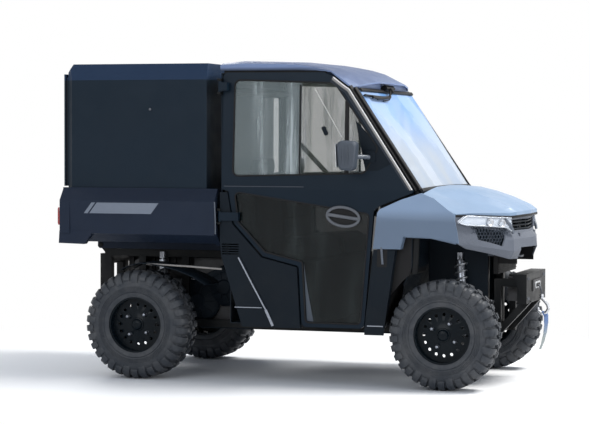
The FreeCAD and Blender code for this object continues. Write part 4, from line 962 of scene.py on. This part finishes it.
def dress_cab_side(word, side):
    """Seals beside the windscreen and along the roof, grab handle, footwell side and wheelhouse liner."""
    foot, head = Vector((782, side * 617, 1128)), Vector((386, side * 603, 1722))
    strip(f"pillar_channel_{word}", "body", [foot, foot.lerp(head, 0.5), head], (24, 8, 3), (0.8, side * 0.55, 0.3),
          RUBBER_TRIM)
    foot, head = foot + Vector((22, -side * 8, 6)), head + Vector((26, -side * 8, -10))
    strip(f"screen_seal_{word}", "body", [foot, foot.lerp(head, 0.5), head], (22, 12, 4), (0.8, side * 0.5, 0.3),
          RUBBER_TRIM)
    grab = mirrored(side, (448, 566, 1560), (436, 580, 1500), (452, 584, 1440), (500, 584, 1385), (556, 576, 1346),
                    (588, 566, 1350))
    pipe(f"grab_handle_{word}", "body", bent(grab, 26), 8.5, RUBBER_TRIM)
    strip(f"roof_seal_{word}", "body", mirrored(side, (-384, 583, 1803), (-60, 583, 1803), (240, 583, 1800)),
          (12, 26, 4), UP, RUBBER_TRIM)
    house = [(560, 345), (575, 400), (600, 470), (640, 540), (700, 610), (745, 650), (752, 690)]
    plate(f"footwell_side_{word}", "body", upright(house + [(752, 1092), (640, 1092), (560, 1010)], side * 600),
          (0, side * 4, 0), RUBBER_TRIM)
    plate(f"wheelhouse_{word}", "body", upright(house + [(x - 4, z + 3) for x, z in reversed(house)], side * 240),
          (0, side * 362, 0), RUBBER_TRIM, sharp=30)


for word, side in SIDES:
    dress_door(word, side)
    dress_cab_side(word, side)

# Windscreen and rear window with their seals
SCREEN_NORMAL = (0.8, 0, 0.6)
screen_low, screen_high = Vector((803.6, 0, 1131.5)), Vector((436, 0, 1698))
along = (screen_high - screen_low).normalized()
# share of the height, half width
rows = [(screen_low.lerp(screen_high, t), Vector((0, half, 0)))
        for t, half in ((0.0, 612), (0.25, 605), (0.5, 599), (0.75, 592), (1.0, 586))]
plate("windscreen", "body", [place - half for place, half in rows] + [place + half for place, half in reversed(rows)],
      Vector((-along.z, 0, along.x)) * 5, SCREEN_PANE, sharp=30, node="cab_glass")
rear_corners = [(-480, 1200), (480, 1200), (480, 1680), (-480, 1680)]
plate("rear_window", "body", crosswise(rear_corners, -387), (-5, 0, 0), CLEAR_PANE, sharp=30)
strip("rear_window_seal", "body", crosswise(loop_2d(rear_corners, (20,) * 4), -396), (14, 8, 3), (1, 0, 0), RUBBER_TRIM,
      closed=True)
strip("screen_foot_seal", "body", [(812, y, 1127 + 8 * (1 - (y / 612) ** 2)) for y in range(-612, 613, 68)],
      (24, 14, 5), SCREEN_NORMAL, RUBBER_TRIM)
strip("screen_head_seal", "body", [(440, y, 1700) for y in (-584, 0, 584)], (22, 14, 5), SCREEN_NORMAL, RUBBER_TRIM)

# Wiper parked under the visor: motor cover, arm, blade and its clips
WIPER_NORMAL = (0.84, 0, 0.54)
wiper = Form("wiper")
wiper.sweep([(444, y, 1718) for y in (-90, 0, 90)], pad_section(30, 40, 8), SCREEN_NORMAL)
wiper.tube([(466, -30, 1702), (492, -120, 1664), (488, -250, 1656), (480, -360, 1652)], 7, 10)
wiper.tube([(462, 20, 1696), (484, -110, 1650), (482, -240, 1640)], 4, 8)
wiper.lathe([(0, 12), (14, 10), (18, 0), (18, -10), (0, -10)], (470, -10, 1704), WIPER_NORMAL, 16, whole=False)
wiper.sweep([(466, -590, 1668), (474, -420, 1664), (476, -230, 1662), (474, -60, 1666)], pad_section(9, 16, 3),
            WIPER_NORMAL)
wiper.sweep([(482, -470, 1660), (486, -360, 1656), (484, -240, 1658)], pad_section(14, 12, 4), WIPER_NORMAL)
wiper.done("body", RUBBER_TRIM, sharp=50)

# Closing panel between the cab back and the roof
closure = Form("roof_rear_closure").block((-392, -545, 1784), (-387, 545, 1849))
for y in (-360, 0, 360):
    closure.block((-396, y - 150, 1808), (-391, y + 150, 1826))
closure.done("body", BLACK, bevel=0.0015)


# Nose

half_gap = [(1017, 645, 985), (1083, 560, 984), (1185, 450, 978), (1267, 345, 973), (1293, 300, 976), (1317, 0, 978)]
strip("hood_gap", "body", mirrored(-1, *half_gap) + half_gap[-2::-1], (8, 14, 3), UP, RUBBER_TRIM)

# y, then x and z of the lens's lower and upper edges
LENS_EDGES = ((352, 1274, 899, 1271, 964), (386, 1249, 920, 1246, 967), (480, 1176, 929, 1170, 972),
              (560, 1112, 934, 1106, 979), (606, 1074, 938, 1069, 981), (640, 1046, 947, 1043, 957))


def headlamp(word, side):
    """Lens, bezel, the hook of trim at its inner end, and two bowls behind the lens."""
    rings = []
    for y, x_low, z_low, x_high, z_high in LENS_EDGES:
        middle_x, middle_z = (x_low + x_high) / 2 + 5, (z_low + z_high) / 2
        section = [(x_low - 3, z_low), (x_low + 2, z_low + 3), (middle_x, middle_z), (x_high + 2, z_high - 3),
                   (x_high - 3, z_high), (x_low - 12, middle_z)]
        rings.append(upright(section, side * y))
    Form(f"lamp_lens_{word}").loft(rings).done("body", LENS, sharp=50)
    rim = [(x_low + 1, y, z_low - 4) for y, x_low, z_low, _, _ in LENS_EDGES] + [(1036, 647, 950)]
    rim += [(x_high + 1, y, z_high + 3) for y, _, _, x_high, z_high in reversed(LENS_EDGES)]
    strip(f"lamp_bezel_{word}", "body", mirrored(side, *rim), (8, 12, 3), (0.6, side * 0.8, 0), BRIGHT_TRIM)
    hook = mirrored(side, (1246, 392, 962), (1266, 364, 932), (1279, 346, 901), (1283, 338, 880))
    strip(f"lamp_hook_{word}", "body", hook, (18, 12, 4), (0.8, side * 0.6, 0), SATIN_TRIM)
    for n, place in enumerate(mirrored(side, (1224, 404, 938), (1170, 476, 946))):
        turned(f"lamp_bowl_{word}_{n}", "body", [(0, 2), (8, 3), (14, 9), (19, 14), (24, 16), (24, 12), (0, -2)], place,
               (0.8, side * 0.6, 0), 28, CHROME, sharp=40)


CELL_STEP = 22.0
# radius, height: section of one cell's wall
CELL_WALL = ((12.7, -4), (12.7, 2), (11.2, 4), (9.9, 0), (9.9, -4))


def honeycomb(word, side):
    """Six-sided cells of the mesh under a lamp."""
    inner, outer = Vector((1236.0, side * 378.0, 0)), Vector((1100.0, side * 552.0, 0))
    length = (inner - outer).length
    way = (inner - outer).normalized()
    square = Vector((abs(way.y), side * way.x, 0)).normalized()
    cell = Form("cell_" + word)
    cell.loft([[(r * math.cos(math.radians(a)), r * math.sin(math.radians(a)), h) for a in range(30, 390, 60)]
               for r, h in CELL_WALL], closed=True)
    spots = []
    for row in range(10):
        z = 806 + row * CELL_STEP * 0.866
        for column in range(14):
            s = column * CELL_STEP + (row % 2) * CELL_STEP / 2 - 8
            t = s / length
            low_edge = 858 - 46 * min(1.0, t / 0.78) if t < 0.78 else 812 + (t - 0.78) * 240
            if -0.05 < t < 1.08 and low_edge < z < 926 - t * 16:
                spots.append((outer + way * s + square * 3 + Vector((0, 0, z)), facing(square)))
    repeated("honeycomb_" + word, "body", cell, spots, SATIN_TRIM)


for word, side in SIDES:
    headlamp(word, side)
for word, side in SIDES:
    honeycomb(word, side)

# Duct behind the tow opening, and the tow loop in it
duct = Form("tow_duct").block((1150, -244, 798), (1300, 244, 804))
for y in (-244, 238):
    duct.block((1150, y, 700), (1286, y + 6, 800))
duct.done("body", RUBBER_TRIM)
pipe("tow_loop", "body", bent([(1180, 60, 735), (1262, 50, 735), (1262, -50, 735), (1180, -60, 735)], 22), 8,
     DARK_STEEL)

# Radiator behind the grille, with its fins
radiator = Form("radiator").block((1150, -250, 640), (1178, 250, 900))
for n in range(24):
    z = 652 + n * 10.4
    radiator.block((1178, -244, z), (1183, 244, z + 5))
radiator.done("body", RUBBER_TRIM)

# Lower quarters: painted highlights along the ridge and ledge lines as (path of (x, y, z), section), then the latch
# behind the front wheel
QUARTER_HIGHLIGHTS = (
    (((-272, 657.5, 728), (-190, 657.5, 580), (-104, 657.5, 428)), (8, 4, 1.2)),
    (((-104, 657.5, 428), (-60, 657.5, 336)), (15, 4, 1.2)),
    (((-294, 656.5, 439), (-128, 656.5, 439)), (5, 3, 1)),
    (((504, 652.5, 352), (598, 652.5, 352)), (6, 3, 1)),
)
for word, side in SIDES:
    lines = Form(f"quarter_lines_{word}")
    for path, size in QUARTER_HIGHLIGHTS:
        lines.sweep(mirrored(side, *path), pad_section(*size), (0, side, 0))
    lines.done("body", RIDGE_HIGHLIGHT, sharp=50)
    recess = loop_2d([(560, 690), (620, 690), (624, 842), (566, 842)], (10,) * 4, 3)
    plate(f"latch_recess_{word}", "body", upright(recess, side * 652.4), (0, side * 1.2, 0), RUBBER_TRIM)
    bolt = Form(f"latch_bolt_{word}")
    bolt.sweep(mirrored(side, (596, 657, 706), (592, 660, 760), (586, 657, 826)), pad_section(13, 8, 3), (0, side, 0))
    bolt.sweep(mirrored(side, (578, 656, 800), (604, 656, 806)), pad_section(16, 7, 2.5), (0, side, 0))
    bolt.done("body", SATIN_TRIM, sharp=50)


# Bumper, winch hook and strap

screw = Form("plate_screw")
screw.lathe([(0, 5), (6, 4.6), (9.5, 2.4), (10, 0), (10, -2), (0, -2)], (0, 0, 0), UP, 16, whole=False)
spots = [((1351, y, z), facing((1, 0, 0))) for y in (-250, -215, 215, 250) for z in (500, 615)]
repeated("bumper_bolts", "body", screw, spots, DARK_STEEL)
opening = loop_2d([(-74, 548), (74, 548), (74, 588), (-74, 588)], (16,) * 4)
plate("fairlead", "body", crosswise(opening, 1359), (4, 0, 0), FAIRLEAD, bevel=0.002)
opening = loop_2d([(-58, 558), (58, 558), (58, 578), (-58, 578)], (9,) * 4)
plate("fairlead_slot", "body", crosswise(opening, 1361), (3, 0, 0), RUBBER_TRIM)
rope = upright([(1361, 568), (1374, 556), (1382, 530), (1385, 492)], 0)
Form("winch_rope").tube(bent(rope, 6), 4.5, 10, up=(0, 1, 0)).done("body", DARK_STEEL)
hook = upright([(1385, 506), (1388, 484), (1402, 470), (1420, 448), (1424, 424), (1410, 402), (1386, 398), (1366, 412),
                (1362, 432)], 0)
hook_form = Form("winch_hook").tube(bent(hook, 8), 9.0, 12, up=(0, 1, 0))
hook_form.lathe([(0, 14), (10, 12), (13, 4), (13, -8), (9, -14), (0, -14)], (1385, 0, 500), UP, 16, whole=False)
hook_form.done("body", CHROME)
web = bent(upright([(1400, 412), (1411, 384), (1412, 340), (1406, 284), (1392, 226), (1377, 186)], 0), 12)
rings = []
for n, place in enumerate(web):
    share = n / (len(web) - 1)
    wide, turn = 17 - 9 * share, math.radians(48 - 10 * share)
    across, through = Vector((math.sin(turn), math.cos(turn), 0)), Vector((math.cos(turn), -math.sin(turn), 0))
    rings.append([place + across * u * wide / 17 + through * v for u, v in pad_section(34, 4.5, 1.8)])
Form("strap_web").loft(rings).done("body", FINISHES["strap"], sharp=60, node="tow_strap")


# Behind the cab: mudguards, heat pipes, air box and belt drive cover

GUARD = [(-1012, 640), (-991, 654), (-946, 672), (-895, 684), (-818, 680), (-755, 670), (-660, 648), (-560, 612),
         (-480, 566)]
for word, side in SIDES:
    plate(f"mudguard_{word}", "body", upright(GUARD + [(x + 1, z - 5) for x, z in reversed(GUARD)], side * 404),
          (0, side * 252, 0), BLACK, bevel=0.0015, sharp=30)
    pipe(f"heat_pipe_{word}", "body", bent(mirrored(side, (-850, 640, 678), (-600, 625, 668), (-392, 606, 655)), 60), 6,
         STRIP_TAN, 10)
air_box = Form("air_box")
air_box.loft([crosswise(loop_2d([(-half, 560), (half, 560), (half - 14, 722), (-half + 14, 722)], (24,) * 4, 3), x)
              for x, half in ((-1180, 120), (-1168, 146), (-720, 150), (-706, 126))])
for x in range(-1140, -720, 46):
    air_box.block((x, -158, 600), (x + 12, 158, 690))
air_box.done("body", RUBBER_TRIM, bevel=0.003, sharp=40)
cover = Form("drive_cover")
for x, z, r in ((-690, 430, 128), (-520, 520, 112)):
    cover.lathe([(0, 58), (r * 0.35, 58), (r * 0.42, 50), (r * 0.86, 42), (r, 30), (r + 6, 22), (r + 6, 2), (0, 2)],
                (x, -162, z), (0, -1, 0), 40, whole=False)
    for n in range(10):
        a = 2 * math.pi * n / 10
        ray = Vector((math.cos(a), 0, math.sin(a)))
        cover.sweep([Vector((x, -214, z)) + ray * r * 0.4, Vector((x, -205, z)) + ray * r * 0.9], pad_section(8, 8, 2),
                    (0, -1, 0))
cover.sweep([(-690, -190, 550), (-520, -190, 632)], pad_section(40, 40, 8), (0, -1, 0))
cover.done("body", BLACK, sharp=35)


# Bed, box and tail

STRIPE_LEAN = 50


def bed_side_y(z):
    """Distance of the bed's leaning side from the middle at a height, just outside its skin."""
    return 682 + (z - 854) * 8 / 196 + 0.4


def lamp_pad(wide, high, rounding, depths, side):
    """Rings of a rounded oblong pad facing the rear, between two x values."""
    corners = [(wide[0], high[0]), (wide[1], high[0]), (wide[1], high[1]), (wide[0], high[1])]
    outline = loop_2d(corners, (rounding,) * 4, 3)
    return [mirrored(side, *crosswise(outline, x)) for x in depths]


for word, side in SIDES:
    stripes = Form(f"bed_stripe_{word}")
    for rear, front in ((-1232, -1208), (-1198, -806)):
        corners = [(rear, 974), (front, 974), (front + STRIPE_LEAN, 1038), (rear + STRIPE_LEAN, 1038)]
        stripes.slab([(x, side * bed_side_y(z), z) for x, z in corners], (0, side * 0.8, 0))
    stripes.done("bed", DECAL)
    strip(f"bed_rail_cap_{word}", "bed", mirrored(side, (-1390, 618, 1121), (-900, 618, 1121), (-414, 618, 1121)),
          (30, 8, 3), UP, FINISHES["bed_plastic"])
    strip(f"bed_corner_trim_{word}", "bed", mirrored(side, (-407, 690, 1050), (-404, 686, 940), (-405, 683, 862)),
          (7, 7, 2), (1, 0, 0), SATIN_TRIM)
    lens = Form(f"tail_lens_{word}").loft(lamp_pad((622, 682), (906, 1004), 8, (-1401, -1404), side))
    low_y = 627 if side > 0 else -677
    for z in range(940, 1000, 8):
        lens.block((-1406, low_y, z), (-1403, low_y + 50, z + 3))
    lens.done("bed", FINISHES["red_lamp"], bevel=0.001, node="tail_lamps" if side > 0 else None)
    clear = Form(f"tail_clear_{word}").loft(lamp_pad((628, 676), (911, 932), 4, (-1403, -1406), side))
    clear.done("bed", STRIP_PALE, bevel=0.001)
    low_y = 619 if side > 0 else -686
    Form(f"tail_housing_{word}").block((-1399, low_y, 902), (-1388, low_y + 67, 1008)).done(
        "bed", FINISHES["red_lamp"], bevel=0.002)
    turned(f"box_lock_{word}", "bed", [(0, 5), (7, 4.5), (9, 2), (9, -3), (0, -3)], (-836, side * 622, 1589),
           (0, side, 0), 20, DARK_STEEL)

seal = Form("hatch_seal")
for low_y, low_z, high_y, high_z in ((-574, 1136, -560, 1776), (560, 1136, 574, 1776), (-574, 1766, 574, 1778)):
    seal.block((-1394, low_y, low_z), (-1388.6, high_y, high_z))
seal.done("hatch", RUBBER_TRIM, bevel=0.001)
Form("hatch_handle").block((-1420, -70, 1240), (-1406, 70, 1300)).done("hatch", BLACK, bevel=0.004)
strip("hatch_grip", "hatch", bent([(-1412, -46, 1262), (-1436, -40, 1262), (-1436, 40, 1262), (-1412, 46, 1262)], 8),
      (14, 12, 4), UP, NUT_STEEL)
strip("tailgate_latch", "tailgate",
      bent([(-1385, -90, 1072), (-1408, -82, 1072), (-1408, 82, 1072), (-1385, 90, 1072)], 8), (18, 12, 4), UP, BLACK)


# Steering wheel, dash and levers

column_foot, column_top = Vector((720, 300, 900)), Vector((430, 300, 1075))
column_way = (column_top - column_foot).normalized()
rim_middle = column_top + column_way * 46
grip = Form("steering_grip")
grip.lathe([(172 + 14 * math.cos(math.radians(a)), 12 * math.sin(math.radians(a))) for a in range(0, 360, 30)],
           rim_middle, column_way, 56)
grip.done("steering_wheel", BLACK, sharp=70, node="steering_wheel")
hub = Form("steering_hub")
hub.lathe([(0, 44), (26, 43), (46, 38), (52, 28), (48, 8), (34, 0.4), (0, 0.4)], column_top, column_way, 36,
          whole=False)
down = column_way.cross(Vector((0, 1, 0))).normalized()
for angle in (90, 210, 330):
    ray = Vector((0, 1, 0)) * math.cos(math.radians(angle)) + down * math.sin(math.radians(angle))
    spoke = [column_top + column_way * 20 + ray * 20, column_top + column_way * 30 + ray * 90, rim_middle + ray * 168]
    hub.sweep(spoke, pad_section(26, 9, 3), tuple(column_way))
hub.done("steering_wheel", BLACK, sharp=50)
GAUGE_SPOT, GAUGE_WAY = (560, 300, 1104), (-0.86, 0, 0.5)
turned("gauge_pod", "body", [(0, 10), (48, 10), (52, 18), (58, 18), (60, 8), (56, -26), (0, -30)], GAUGE_SPOT,
       GAUGE_WAY, 36, BLACK, bevel=0.0015)
turned("gauge_face", "body", [(0, 11.5), (47, 11.5), (47, 9), (0, 9)], GAUGE_SPOT, GAUGE_WAY, 36, SCREEN_DARK)
vents = Form("dash_vents")
for y in (-420, -180, 60):
    for n in range(4):
        x, z = 567 - n * 1.4, 985 + n * 15
        vents.sweep([(x, y - 50, z), (x, y + 50, z)], pad_section(9, 6, 2), (1, 0, 0.3))
vents.done("body", RUBBER_TRIM, sharp=50)
pipe("side_bar", "body", bent([(-300, 566, 1400), (-90, 566, 1185), (-76, 566, 900)], 40), 15, RUBBER_TRIM)
shifter = Form("gear_lever").tube(bent([(600, 120, 930), (520, 110, 1010), (470, 110, 1060)], 20), 8, 12)
shifter.lathe([(0, 20), (14, 16), (17, 4), (13, -12), (0, -16)], (468, 110, 1064), (-0.7, 0, 0.7), 20, whole=False)
shifter.done("body", RUBBER_TRIM)


# Seats

PAD_SLICES = 22
PUFF_FRAMES = 20
PUFF_PRESSURE = 4.0
SEAM_WIDTH = 9.0


def puff(thing, cap):
    """Blows the closed mesh up as cloth held at its foot; no point moves further than the cap, in metres."""
    start = [v.co.copy() for v in thing.data.vertices]
    foot_z = min(v.z for v in start)
    held = thing.vertex_groups.new(name="held")
    held.add([n for n, v in enumerate(start) if v.z < foot_z + 0.008], 1.0, "REPLACE")
    cloth = thing.modifiers.new("cloth", "CLOTH")
    cloth.settings.use_pressure = True
    cloth.settings.uniform_pressure_force = PUFF_PRESSURE
    cloth.settings.effector_weights.gravity = 0
    cloth.settings.vertex_group_mass = "held"
    cloth.settings.quality = 6
    scene.frame_start, scene.frame_end = 1, PUFF_FRAMES
    cloth.point_cache.frame_start, cloth.point_cache.frame_end = 1, PUFF_FRAMES
    for step in range(1, PUFF_FRAMES + 1):
        scene.frame_set(step)
    baked(thing)
    scene.frame_set(1)
    for vert, origin in zip(thing.data.vertices, start):
        move = vert.co - origin
        if move.length > cap:
            vert.co = origin + move * (cap / move.length)


def seat_pad(name, outline, y_middle, half, cap, seams, node=None):
    """Cushion puffed from a slightly smaller block with this (x, z) outline, then sewn across in channels:
    seams are (axis number, place along it, depth)."""
    middle_x, middle_z = [sum(point[k] for point in outline) / len(outline) for k in (0, 1)]
    rings = []
    for n in range(PAD_SLICES + 1):
        t = n / PAD_SLICES * 2 - 1
        shrink = 1 - 0.10 * abs(t) ** 6
        rings.append([(middle_x + (x - middle_x) * shrink, y_middle + half * t, middle_z + (z - middle_z) * shrink)
                      for x, z in outline])
    thing = link(bpy.data.objects.new(name, Form(name).loft(rings).mesh()))
    thing.data.materials.append(FINISHES["seat_cover"])
    remesh = thing.modifiers.new("remesh", "REMESH")
    remesh.mode = "VOXEL"
    remesh.voxel_size = 0.007
    baked(thing)
    puff(thing, cap)
    middle = Vector((middle_x, y_middle, middle_z)) / CAD_SCALE
    for vert in thing.data.vertices:
        inward = (middle - vert.co).normalized()
        for axis, spot, depth in seams:
            value = (vert.co.x, vert.co.y - y_middle / CAD_SCALE, vert.co.z)[axis] * CAD_SCALE
            vert.co += inward * depth * math.exp(-((value - spot) / SEAM_WIDTH) ** 2) / CAD_SCALE
    fine = thing.modifiers.new("fine", "SUBSURF")
    fine.levels = fine.render_levels = 1
    baked(thing)
    finished(thing, "body", sharp=180, node=node)


for word, y, cushion_node, back_node in (("right", -300.0, None, None), ("left", 300.0, "seat_cushions", "seat_backs")):
    seat_pad(f"seat_cushion_{word}", [(190, 722), (182, 820), (150, 828), (-160, 806), (-168, 722)],
             y, 246, 0.022, [(0, 60, 5), (0, -60, 5), (1, 150, 6), (1, -150, 6)], cushion_node)
    seat_pad(f"seat_back_{word}", [(-190, 720), (-190, 822), (-222, 1210), (-262, 1226), (-316, 1206), (-298, 720)],
             y, 240, 0.022, [(2, 930, 5), (2, 1080, 5), (1, 150, 6), (1, -150, 6)], back_node)
    seat_pad(f"headrest_{word}", [(-222, 1196), (-206, 1236), (-212, 1300), (-268, 1300), (-286, 1210)],
             y, 128, 0.016, [(1, 0, 4)])

low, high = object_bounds()
